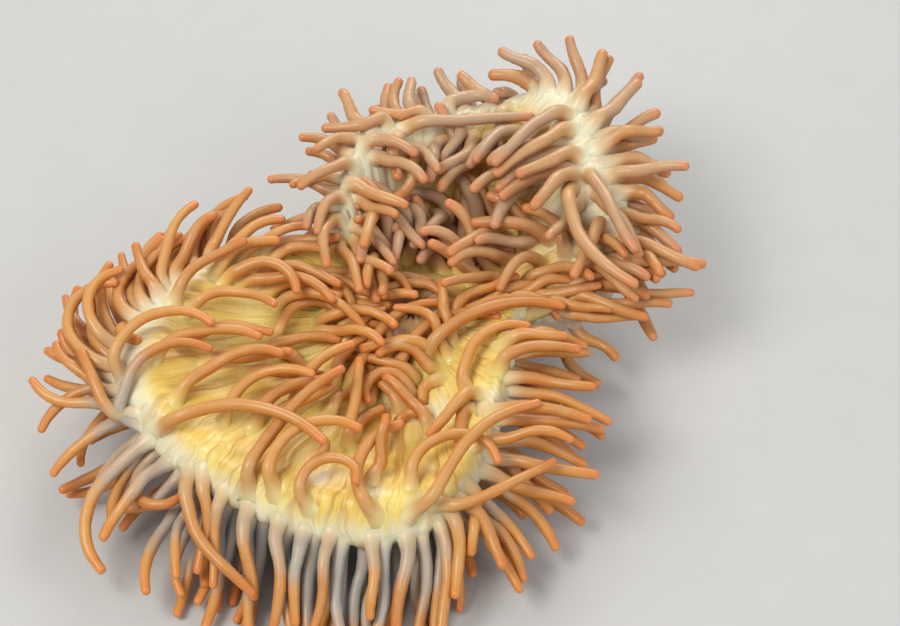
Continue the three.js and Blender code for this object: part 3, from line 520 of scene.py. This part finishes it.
STRAY = [0.08, 0.18, 0.07, 7.0, 12.0, 5.0, 5.0]   # how far one may stray from its row
LINKS = 6                   # straight lengths that a tentacle's course is worked out in
ROOT_RADIUS = 3.7
ROOT_BURIED = 1.5           # depth of a root's middle below the skin
ROOT_LEAN = 0.9             # how much the first link stands away from the skin
LATE_TURN = 1.4             # above 1 a tentacle turns more towards its tip
TAPER = np.array([1, 0.90, 0.86, 0.84, 0.80, 0.74, 0.62])
ROOM = 8.4                  # distance kept between two roots
AIR = 1.0                   # gap kept between two tentacles
CLEAR_OF_BODY = 0.9
FLOOR_GAP = 1.5
ROOT_RINGS = (2.7, 8.5)     # rings that roots may stand on
SPREAD_ROUNDS = 30          # small steps in which roots move apart
SPREAD_SHARE = 0.35         # share of what they lack that they move in one step
SEARCH_EVERY = 8            # rounds between two searches for beads that are close
SEARCH_SLACK = 4            # how much further off such beads may be
AT_ONCE = 400               # beads handled together, to save memory
SIDEWAYS = 9                # a bead heeds the skin up to this far beside it
MOST_LIFT = 6               # and is lifted off it by at most this much
SAME_STRING = 2.2           # beads of one tentacle nearer than this many radii don't push
EASE = 0.25                 # share of its neighbours' move that a joint takes over
PULL_HOME = 0.995           # share of a move that is kept from round to round
LENGTH_FIX = 0.6            # share of a wrong length put right in one round
SKIRT_AT = np.array([0, 0.3, 1.2, 2.4, 3.8, 5.4])        # rings of a tentacle's foot, in mm
SKIRT_SHARE = np.array([1, 1, 0.66, 0.36, 0.16, 0.04])   # how far each is drawn onto the body
SKIRT_SUNK = np.array([2.4, 1.1, 0.25, 0, 0, 0])         # and how far under its surface, in mm
SKIRT_WIDER = 0.85          # how much wider than the tentacle the foot ends on the body
FLARE = 0.45                # how much wider a tentacle is at its root
FLARE_OVER = 5.5            # and how soon this fades, in mm
WAVER = 2.0                 # how far a finished tentacle wavers off its settled course
LOWEST = 0.4                # height that no tentacle goes below
SECTORS = {"inner": 6, "outer": 12}     # pieces of the crown that the solids are parted into
CROWN_EDGE = 5.2            # ring that parts the inner from the outer crown
CUT = 0.5                   # width of the cuts between the sectors


def fatness(station):
    """The tentacles of the back lobes are a fifth thicker, easing off to both sides."""
    return 1 + 0.22 * np.exp(-((station - 6) / 3.2) ** 2)


def scatter(tentacle, quality):
    """An even scatter from 0 to 1: the fraction of a large multiple of a sine."""
    x = np.sin(tentacle * 12.9898 + quality * 78.233) * 43758.5453
    return x - np.floor(x)


def grow(rows, stray, first=0):
    """One line per tentacle: station, ring, length, headings and pitches, strayed from its row."""
    grown = []
    for _, count, *measures in rows:
        for i in range(count):
            share = i / (count - 1) if count > 1 else 0.0
            line = np.array([m[0] + (m[1] - m[0]) * share if isinstance(m, list) else m
                             for m in measures], float)
            if count > 1:
                k = first + len(grown)
                off = np.array([(scatter(k, q + 1) - 0.5) * 2 for q in range(7)]) * stray
                off[2] *= line[2]
                line = line + off
            grown.append(line)
    return np.array(grown)


def spread_roots(roots, room, still=0):
    """Roots closer than their room move apart over the skin in small steps. The first ones, as
    many as still says, stay where they are."""
    station, ring = roots[:, 0].copy(), roots[:, 1].copy()
    for _ in range(SPREAD_ROUNDS):
        place, fat = skin(station, ring), fatness(station)
        apart = place[:, None] - place[None]
        distance = np.linalg.norm(apart, axis=2) + 1e-6
        need = room * 0.5 * (fat[:, None] + fat[None])
        push = np.where(distance < need, need / distance - 1, 0.0)
        np.fill_diagonal(push, 0)
        move = SPREAD_SHARE * (push[..., None] * apart).sum(1)
        move[:still] = 0
        along, across, _ = skin_frame(station, ring)
        station += np.clip((move * along).sum(1) / (along ** 2).sum(1), -0.1, 0.1)
        ring += np.clip((move * across).sum(1) / (across ** 2).sum(1), -0.12, 0.12)
        ring[still:] = np.clip(ring[still:], *ROOT_RINGS)
    roots[:, 0], roots[:, 1] = station, ring
    return roots


def off_the_cuts(roots):
    """Roots stand clear of the cuts between the sectors of the crown, as they do in the solids."""
    station, ring = roots[:, 0], roots[:, 1]
    along, across, _ = skin_frame(station, ring)
    keep = ROOT_RADIUS * fatness(station) + CUT
    side = np.where(ring < CROWN_EDGE, -1, 1)
    away = np.maximum(np.abs(ring - CROWN_EDGE), keep / np.linalg.norm(across, axis=1))
    width = STATIONS / np.where(side < 0, SECTORS["inner"], SECTORS["outer"])
    low = np.floor(station / width) * width
    margin = np.minimum(keep / np.linalg.norm(along, axis=1), width / 2)
    roots[:, 0] = np.clip(station, low + margin, low + width - margin)
    roots[:, 1] = CROWN_EDGE + side * away
    return roots


def courses(lines):
    """The joints of each tentacle with nothing in its way: equal links whose heading and pitch
    turn from the root's to the tip's, the first one leaning along the skin's normal."""
    station, ring, length, root, tip, root_pitch, tip_pitch = lines.T
    normal = skin_frame(station, ring)[2]
    joints = [skin(station, ring) - ROOT_BURIED * normal]
    for k in range(LINKS):
        share = (k + 0.5) / LINKS
        turn = np.radians(root + (tip - root) * share ** LATE_TURN)
        pitch = np.radians(root_pitch + (tip_pitch - root_pitch) * share)
        way = np.stack([np.cos(turn) * np.cos(pitch), np.sin(turn) * np.cos(pitch),
                        np.sin(pitch)], -1)
        if k == 0:
            way += ROOT_LEAN * normal
            way /= np.linalg.norm(way, axis=1, keepdims=True)
        joints.append(joints[-1] + way * (length / LINKS)[:, None])
    return np.stack(joints, 1)


def settle(given, lines, rounds=80, still=0):
    """Each tentacle is a string of beads, on its joints and midway. Beads that come too close push
    each other apart, skin and floor push them off, and the strings keep their lengths and stay
    near their courses. The first ones, as many as still says, don't give way."""
    count, beads = len(given), 2 * LINKS + 1
    joints = given.copy()
    link = lines[:, 2] / LINKS
    owner, place = np.repeat(np.arange(count), beads), np.tile(np.arange(beads), count)
    taper = np.interp(place / 2, np.arange(LINKS + 1), TAPER)
    radius = ROOT_RADIUS * fatness(lines[owner, 0]) * taper
    moving = (owner >= still).astype(float)
    free = np.clip((place - 1) / 4, 0, 1) * moving
    around, along = np.meshgrid(np.arange(104) / 104 * STATIONS, np.linspace(0.5, 14, 40),
                                indexing="ij")
    sample = skin(around, along).reshape(-1, 3)
    sample_normal = skin_frame(around, along)[2].reshape(-1, 3)
    for turn in range(rounds):
        bead = np.empty((count, beads, 3))
        bead[:, ::2] = joints
        bead[:, 1::2] = (joints[:, 1:] + joints[:, :-1]) / 2
        bead = bead.reshape(-1, 3)
        if turn % SEARCH_EVERY == 0:
            found, nearest = [], []
            for s in range(0, len(bead), AT_ONCE):
                some, some_radius = bead[s:s + AT_ONCE, None], radius[s:s + AT_ONCE, None]
                d2 = ((some - bead[None]) ** 2).sum(2)
                reach = some_radius + radius[None] + AIR + SEARCH_SLACK
                a, b = np.nonzero(d2 < reach ** 2)
                found.append(np.stack([a + s, b])[:, a + s < b])
                to_skin = ((some - sample[None]) ** 2).sum(2)
                nearest.append(to_skin.argmin(1))
            a, b = np.concatenate(found, 1)
            nearest = np.concatenate(nearest)
            # beads next to each other on one string, and the roots, don't push
            along_string = np.abs(place[a] - place[b]) * link[owner[a]] / 2
            far = along_string > SAME_STRING * (radius[a] + radius[b])
            kept = ((owner[a] != owner[b]) | far) & ~((place[a] < 3) & (place[b] < 3))
            kept &= (free[a] + free[b]) > 0
            a, b = a[kept], b[kept]
        apart = bead[a] - bead[b]
        distance = np.linalg.norm(apart, axis=1) + 1e-9
        over = np.maximum(radius[a] + radius[b] + AIR - distance, 0)
        both = np.maximum(free[a] + free[b], 1e-9)
        push, pushes = np.zeros_like(bead), np.zeros(len(bead))
        np.add.at(push, a, apart * (over / distance * free[a] / both)[:, None])
        np.add.at(push, b, -apart * (over / distance * free[b] / both)[:, None])
        np.add.at(pushes, a, over > 0)
        np.add.at(pushes, b, over > 0)
        off = bead - sample[nearest]
        normal = sample_normal[nearest]
        height = (off * normal).sum(1)
        sideways = np.linalg.norm(off - normal * height[:, None], axis=1)
        deep = np.clip(radius + CLEAR_OF_BODY - height, 0, MOST_LIFT)
        deep = deep * (place >= 3) * (sideways < SIDEWAYS) * moving
        push += normal * deep[:, None]
        low = np.maximum(radius + FLOOR_GAP - bead[:, 2], 0) * moving
        push[:, 2] += low
        pushes += (deep > 0) * 1.0 + (low > 0)
        push = (push / np.maximum(pushes, 1)[:, None]).reshape(count, beads, 3)

        # a midway bead moves the joints on both its sides
        pushed = (np.abs(push).sum(2) > 0) * 1.0
        move, parts = push[:, ::2].copy(), pushed[:, ::2].copy()
        move[:, 1:] += push[:, 1::2]
        move[:, :-1] += push[:, 1::2]
        parts[:, 1:] += pushed[:, 1::2]
        parts[:, :-1] += pushed[:, 1::2]
        moved = joints + move / np.maximum(parts, 1)[..., None] - given
        moved[:, 0] = 0
        beside = moved.copy()
        beside[:, 1:-1] = (moved[:, :-2] + moved[:, 2:]) / 2
        beside[:, -1] = (moved[:, -1] + moved[:, -2]) / 2
        joints = given + (moved + EASE * (beside - moved)) * PULL_HOME
        for k in range(LINKS):
            step = joints[:, k + 1] - joints[:, k]
            long = np.linalg.norm(step, axis=1) + 1e-9
            fix = step * ((link / long - 1) * (LENGTH_FIX if turn < rounds - 1 else 1.0))[:, None]
            joints[:, k + 1:] += fix[:, None]
        joints[:still] = given[:still]
    return joints


def skirt(lines, tangent, ray, size):
    """The foot of each tentacle laid out on the body's surface. A ring's rays are turned by the
    smallest turn that stands the tentacle upright, and end on the surface at that distance."""
    station, ring = lines[:, 0], lines[:, 1]
    along, across, normal = (v[:, None, None] for v in skin_frame(station, ring))
    tangent = tangent[:, :, None]
    upright = (tangent * normal).sum(3, keepdims=True)
    flat = ray - (ray * normal).sum(3, keepdims=True) / (1.05 + upright) * (tangent + normal)
    flat = flat - (flat * normal).sum(3, keepdims=True) * normal
    reach = size * (1 + SKIRT_WIDER * SKIRT_SHARE ** 2)
    flat = flat / np.linalg.norm(flat, axis=3, keepdims=True) * reach[:, :, None, None]
    aa, ac, cc = ((p * q).sum(3) for p, q in ((along, along), (along, across), (across, across)))
    fa, fc = (flat * along).sum(3), (flat * across).sum(3)
    area = aa * cc - ac * ac
    at_station = station[:, None, None] + (fa * cc - fc * ac) / area
    at_ring = np.clip(ring[:, None, None] + (fc * aa - fa * ac) / area, 0.3, 11)
    return body_surface(at_station, at_ring) - SKIRT_SUNK[:, None, None] * normal


def tentacle_rings(joints, lines, rings, sides):
    """Rings round a smooth curve through a tentacle's joints. The radius is flared at the root,
    swells and narrows a little along the way, and closes over the tip as half a ball."""
    count = len(joints)
    radius = ROOT_RADIUS * fatness(lines[:, 0])
    length = lines[:, 2]
    normal = skin_frame(lines[:, 0], lines[:, 1])[2]
    knots = np.concatenate([joints[:, :1] - ROOT_BURIED * normal[:, None], joints[:, 1:]], 1)
    knots = np.concatenate([2 * knots[:, :1] - knots[:, 1:2], knots,
                            2 * knots[:, -1:] - knots[:, -2:-1]], 1)

    tip = radius * TAPER[-1]
    round_rings = 6
    last = 1 - (tip / length)[:, None]
    near = SKIRT_AT / length[:, None]
    rest = np.linspace(0, 1, rings - round_rings - len(SKIRT_AT) + 1)[None, 1:]
    rest = near[:, -1:] + (last - near[:, -1:]) * rest
    share = np.concatenate([near, rest, np.repeat(last, round_rings, 1)], 1)
    angle = np.concatenate([np.zeros(rings - round_rings),
                            np.linspace(0, np.pi / 2, round_rings + 1)[1:]])[None]
    at = share * LINKS
    k = np.minimum(np.floor(at).astype(int), LINKS - 1)
    t = (at - k)[..., None]
    which = np.arange(count)[:, None]
    a, b, c, d = (knots[which, k + m] for m in range(4))
    centre = curve_point(a, b, c, d, t)
    tangent = (c - a) + t * (2 * (2 * a - 5 * b + 4 * c - d) + t * 3 * (3 * (b - c) + d - a))
    tangent /= np.linalg.norm(tangent, axis=2, keepdims=True) + 1e-9

    taper = np.interp(share, [0, 0.12, 0.5, 0.85, 1], [0.98, 0.84, 0.78, 0.68, 0.58])
    number = np.arange(count)[:, None]
    wave = 1 + 0.035 * np.sin(2 * np.pi * (share * 2.3 + scatter(number, 21)))
    wave += 0.02 * np.sin(2 * np.pi * (share * 7.1 + scatter(number, 22)))
    flare = 1 + FLARE * np.exp(-share * length[:, None] / FLARE_OVER)
    size = radius[:, None] * taper * wave * flare * (0.90 + 0.18 * scatter(number, 23))
    tip_size = size[:, -1:]
    centre = centre + tangent * (tip_size * np.sin(angle))[..., None]
    size = size * np.maximum(np.cos(angle), 0.05)

    across = np.cross(tangent[:, 0], np.array([0.31, 0.17, 0.93]))
    across /= np.linalg.norm(across, axis=1, keepdims=True) + 1e-9
    frames = []
    for i in range(rings):
        across = across - tangent[:, i] * (across * tangent[:, i]).sum(1, keepdims=True)
        across /= np.linalg.norm(across, axis=1, keepdims=True) + 1e-9
        frames.append(across)
    across = np.stack(frames, 1)
    beside = np.cross(tangent, across)
    for way, quality in ((across, 24), (beside, 26)):
        bend = np.sin(2 * np.pi * (share * (0.45 + 0.5 * scatter(number, quality))
                                   + scatter(number, quality + 1)))
        centre = centre + way * (WAVER * smooth(share, 0.08, 0.5) * bend)[..., None]
    turn = np.arange(sides) / sides * 2 * np.pi
    ray = (across[:, :, None] * np.cos(turn)[:, None] + beside[:, :, None] * np.sin(turn)[:, None])
    points = centre[:, :, None] + ray * size[:, :, None, None]
    first = slice(0, len(SKIRT_AT))
    hugged = skirt(lines, tangent[:, first], ray[:, first], size[:, first])
    points[:, first] += (hugged - points[:, first]) * SKIRT_SHARE[:, None, None]
    points[..., 2] = np.maximum(points[..., 2], LOWEST)
    return points, share, ray


# the shorter and half-hidden ones between them, which stand closer
MORE_ROWS = [
    # left lobe
    ["fan_between", 9, [14.2, 16.2], [8.0, 7.9], [58, 62], [98, 166], [40, 120], 0, 4],
    ["fan_inner", 8, [14.4, 16.6], [7.1, 7.2], [48, 52], [84, 178], [30, 110], 14, 6],
    ["fan_under", 5, [14.6, 17.2], [8.5, 8.5], [50, 54], [110, 210], [60, 250], -16, -8],
    ["left_more", 7, [16.2, 18.2], [7.4, 7.6], [52, 60], [190, 238], [250, 288], -8, -16],
    # front
    ["hang_between", 12, [18.2, 22.2], [7.6, 7.7], [62, 58], [262, 268], [258, 272], -42, -18],
    ["hang_short", 10, [18.0, 22.3], [6.9, 6.8], [50, 44], [262, 270], [280, 256], -20, -36],
    ["under_more", 8, [18.4, 22.4], 8.5, [54, 50], [250, 280], [262, 262], -24, -4],
    ["corner_more", 4, [22.2, 23.2], [7.0, 7.9], [46, 50], [-50, -30], [-76, -50], -10, -24],
    # right-hand rim of the front lobe
    ["rim_between", 6, [22.8, 25.4], [7.2, 6.8], [54, 42], [-10, -2], [-34, -6], -4, -10],
    ["rim_inner", 4, [22.6, 24.8], [6.0, 5.8], [46, 38], [4, 14], [-20, -8], 18, -8],
    ["rim_under", 5, [22.9, 25.2], [8.3, 8.0], [46, 40], [-30, -10], [-50, -30], -16, -12],
    # the centre
    ["centre_more", 4, [16.6, 21.8], [3.8, 3.9], [40, 44], [40, 96], [-10, 150], 24, -6],
    ["centre_low", 6, [17.0, 22.6], [2.9, 3.0], [36, 40], [60, 150], [120, 210], 22, 2],
    ["centre_right", 5, [22.8, 25.6], [3.1, 3.6], [44, 40], [150, 20], [230, -20], 24, 0],
    ["centre_back", 6, [12.6, 16.2], [2.9, 3.1], [42, 46], [40, 0], [-40, -60], 24, -8],
    ["notch_more", 4, [13.0, 14.6], [3.9, 3.9], [42, 48], [20, 0], [-30, -50], 16, -6],
    # left lobe, far side
    ["far_out", 4, [13.3, 14.9], [7.4, 7.5], [56, 48], [80, 100], [12, 36], 8, 4],
    ["far_in", 3, [12.8, 14.8], [5.6, 5.8], [44, 48], [30, 70], [-20, 16], 18, -2],
    ["far_under", 4, [13.2, 15.0], 8.5, [44, 50], [84, 112], [40, 70], -10, 2],
    # back lobes
    ["valley_floor", 7, [3.0, 10.6], [2.9, 3.0], [48, 44], [150, 60], [190, 240], 64, 14],
    ["valley_low", 8, [2.6, 10.8], 3.5, [50, 44], [200, 280], [214, 262], 56, -4],
    ["valley_mid", 8, [3.0, 10.9], 4.1, [46, 42], [226, 300], [222, 270], 46, -10],
    ["valley_up", 6, [4.0, 9.6], 3.3, [52, 48], [120, 90], [160, 150], 62, 24],
    ["lobe_left_rim", 6, [11.0, 8.6], [7.2, 7.6], [34, 38], [200, 110], [250, 90], 0, 6],
    ["lobe_left_mid", 6, [10.8, 8.0], [5.9, 6.2], [36, 36], [250, 180], [262, 170], 20, -6],
    ["lobe_left_in", 5, [11.2, 8.4], [4.7, 4.9], [38, 36], [-70, -30], [-60, -60], 18, -8],
    ["lobe_top", 6, [8.4, 6.2], [7.7, 7.8], [34, 32], [120, 96], [100, 110], 10, 12],
    ["lobe_inner", 6, [8.0, 5.8], [5.0, 4.9], [38, 40], [250, 230], [250, 236], 22, -6],
    ["lobe_right_rim", 7, [5.4, 2.6], [7.5, 7.5], [36, 38], [56, -66], [40, -76], 6, 0],
    ["lobe_right_mid", 6, [5.4, 2.8], [6.2, 6.2], [38, 38], [70, -40], [50, -70], 26, -2],
    ["lobe_right_in", 5, [5.2, 3.2], [5.2, 5.2], [44, 42], [200, 250], [220, 262], 24, -6],
    ["lobe_low", 6, [3.4, 0.8], [4.4, 5.8], [44, 40], [-40, -14], [-50, -20], 14, -10],
    ["lobe_low_in", 5, [2.4, 0.0], [3.4, 3.8], [42, 38], [-20, 20], [-40, 0], 26, -6],
    ["lobe_under", 7, [11.0, 5.6], 8.5, [38, 36], [196, 70], [220, 60], -12, 0],
    ["lobe_right_under", 6, [4.8, 0.9], [8.5, 8.4], [36, 38], [40, -50], [30, -60], -14, -6],
]
MORE_ROOM = 7.0
MORE_ROUNDS = 64
BEND_OVER = 93.0            # height at which they start to bend over
HEADROOM = 8.0              # and how much further they rise at most
MORE_STRAY = [0.14, 0.26, 0.16, 9.0, 16.0, 7.0, 8.0]

main = grow(ROWS, STRAY)
main = off_the_cuts(spread_roots(main, ROOM))
main_joints = settle(courses(main), main)
more = grow(MORE_ROWS, MORE_STRAY, first=len(main))
both = spread_roots(np.concatenate([main, more]), MORE_ROOM, still=len(main))
given = np.concatenate([main_joints, courses(both[len(main):])])
both_joints = settle(given, both, MORE_ROUNDS, still=len(main))
high = np.maximum(both_joints[len(main):, :, 2] - BEND_OVER, 0)    # tall ones bend over
both_joints[len(main):, :, 2] += HEADROOM * np.tanh(high / HEADROOM) - high


def tentacle_finish():
    """Moist, slightly see-through flesh: greyish at the root, orange-tan along the middle, a
    painted highlight that makes the upper side a paler greyish-pink, painted shade that makes the
    underside a darker orange, and a brighter tip."""
    f = Finish("tentacle_skin")
    along, up, tone, grey = f.mark("along"), f.mark("up"), f.mark("tone"), f.mark("grey")
    place = f.node("TexCoord", out=3)
    cloud = f.noise(place, 120.0, 3.0, 0.55)
    speck = f.noise(place, 1100.0, 2.0, 0.6)
    tan = f.mix(tone, srgb(196, 120, 42), srgb(216, 150, 66))
    tan = f.mix(f.mark("dull"), tan, srgb(187, 160, 134))
    root = f.mix(grey, srgb(214, 166, 94), srgb(164, 171, 172))
    colour = f.mix((along + (cloud - 0.5) * 0.25 - grey * 0.46).steps(0.0, 0.30), root, tan)
    below = f.node("ValToRGB", {"stops": [(0.0, srgb(243, 218, 128)), (0.5, srgb(240, 232, 200)),
                                          (1.0, srgb(196, 180, 162))]}, {"Fac": f.mark("below")})
    colour = f.mix((f.mark("skinlike") + (cloud - 0.5) * 0.3).held(), colour, below)
    tip = (along + (cloud - 0.5) * 0.12).steps(0.76, 1.02) * 0.65
    colour = f.mix(tip, colour, srgb(224, 136, 80))
    # painted highlight: the upward-facing side of each tentacle is coloured a paler greyish-pink,
    # away from the tip
    back = up.steps(0.25, 0.95) * (1 - along.steps(0.7, 0.95)) * (0.18 + cloud * 0.32)
    colour = f.mix(back.held(), colour, srgb(214, 172, 122))
    # painted shade: the downward-facing side of each tentacle is coloured a darker orange, less so
    # at greyed roots
    side = (1 - up.steps(-0.5, 0.35)) * (0.42 - grey * (1 - along.steps(0.35, 0.7)) * 0.34)
    colour = f.mix(side, colour, srgb(192, 102, 42))
    colour = f.mix(speck.steps(0.60, 0.74) * 0.15, colour, srgb(240, 206, 160))
    rough = 0.33 + cloud * 0.14 + speck * 0.06
    normal = f.node("Bump", {}, {"Strength": 0.35, "Distance": 0.0006,
                                 "Height": cloud * 0.8 + speck * 0.4})
    return f.done(colour, rough, normal, Subsurface_Weight=0.30, Subsurface_Scale=0.005,
                  Subsurface_Radius=(1.0, 0.38, 0.16), Coat_Weight=0.30, Coat_Roughness=0.16,
                  IOR=1.38)


TENTACLE_RINGS, TENTACLE_SIDES = 34, 14     # of each tentacle's tube
tube_points, tube_share, tube_ray = tentacle_rings(both_joints, both, TENTACLE_RINGS,
                                                   TENTACLE_SIDES)
around = both[:, 0] % STATIONS
number = np.arange(len(both))
# greyer along the low front rim, duller on the back lobes
low_rim = smooth(both[:, 1], 6.4, 7.4) * (np.maximum(bump_at(around, 19.8, 2.9),
                                                     0.5 * bump_at(around, 16.9, 1.2)))
greyed = (low_rim * 1.3 + 0.25 * (scatter(number, 31) - 0.4)).clip(0, 1)
dulled = (bump_at(around, 7.0, 4.4) * (0.3 + 0.9 * scatter(number, 33))).clip(0, 1)
reached = tube_share * both[:, 2:3]
flesh = tentacle_finish()
groups = {
    "tentacles_left": (around >= 12.6) & (around < 17.6),
    "tentacles_front": around >= 17.6,
    "tentacles_right": around < 5.2,
    "tentacles_back": (around >= 5.2) & (around < 12.6),
}
for name, chosen in groups.items():
    each = chosen.nonzero()[0]
    each_station, each_ring = both[each, 0], both[each, 1]
    marks = {"along": tube_share[each][..., None], "up": tube_ray[each][..., 2],
             "tone": scatter(each, 32)[:, None, None], "grey": greyed[each][:, None, None],
             "dull": dulled[each][:, None, None],
             "below": 0.5 * (paleness_and_shine(each_station, each_ring)
                             + 2 * smooth(each_ring, 7.1, 8.1)).clip(0, 2)[:, None, None],
             "skinlike": (1 - smooth(reached[each], 0.5, 10.5 - 3 * greyed[each, None]))[..., None]}
    piece = skin_mesh(name, tube_points[each], marks, flesh)
    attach(piece, "root")


# ---------------------------------------------------------------- the floor, the light, the camera
# The model stands on a plain pale floor under soft studio light: one large lamp high at the left,
# a weaker one from the right and one from behind that lights up the edges.

floor_mesh = bpy.data.meshes.new("floor")
floor_mesh.from_pydata([(-6, -6, 0), (6, -6, 0), (6, 6, 0), (-6, 6, 0)], [], [(0, 1, 2, 3)])
floor = bpy.data.objects.new("floor", floor_mesh)
bpy.context.scene.collection.objects.link(floor)
pale = Finish("pale_floor")
paper = pale.noise(pale.node("TexCoord", out=3), 40.0, 2.0, 0.5)
floor_colour = pale.mix(paper, srgb(198, 197, 194), srgb(204, 203, 200))
floor_normal = pale.node("Bump", {}, {"Strength": 0.05, "Height": paper})
floor_mesh.materials.append(pale.done(floor_colour, 0.7 + paper * 0.1, floor_normal))


def lamp(name, place, power, size, colour):
    """A square lamp of that size in metres, aimed at the middle of the animal."""
    light = bpy.data.lights.new(name, "AREA")
    light.energy, light.size, light.color = power, size, colour
    made = bpy.data.objects.new(name, light)
    made.location = place
    aim = np.array([0.0, 0.0, 0.05]) - np.array(place)
    made.rotation_euler = Vector(aim).to_track_quat("-Z", "Y").to_euler()
    bpy.context.scene.collection.objects.link(made)


lamp("key", (-0.7, -0.5, 1.3), 14.5, 0.7, (1.0, 0.97, 0.92))
lamp("fill", (0.9, -0.8, 0.8), 6.0, 0.9, (0.93, 0.97, 1.0))
lamp("rim", (0.2, 1.1, 0.9), 9.0, 0.7, (1.0, 0.98, 0.95))
world = bpy.data.worlds.new("studio")
world.use_nodes = True
world.node_tree.nodes["Background"].inputs["Color"].default_value = (0.86, 0.90, 0.95, 1)
world.node_tree.nodes["Background"].inputs["Strength"].default_value = 0.38
bpy.context.scene.world = world

ELEVATION = np.radians(48)
TARGET = np.array([0.0325, 0.0114, 0.050])
lens = bpy.data.cameras.new("camera")
lens.lens, lens.sensor_width, lens.clip_start = 80, 36, 0.01
camera = bpy.data.objects.new("camera", lens)
camera.location = TARGET + np.array([0, -np.cos(ELEVATION), np.sin(ELEVATION)]) * 1.0
camera.rotation_euler = (np.pi / 2 - ELEVATION, 0, 0)
bpy.context.scene.collection.objects.link(camera)
bpy.context.scene.camera = camera

bpy.context.scene.view_settings.view_transform = "Standard"
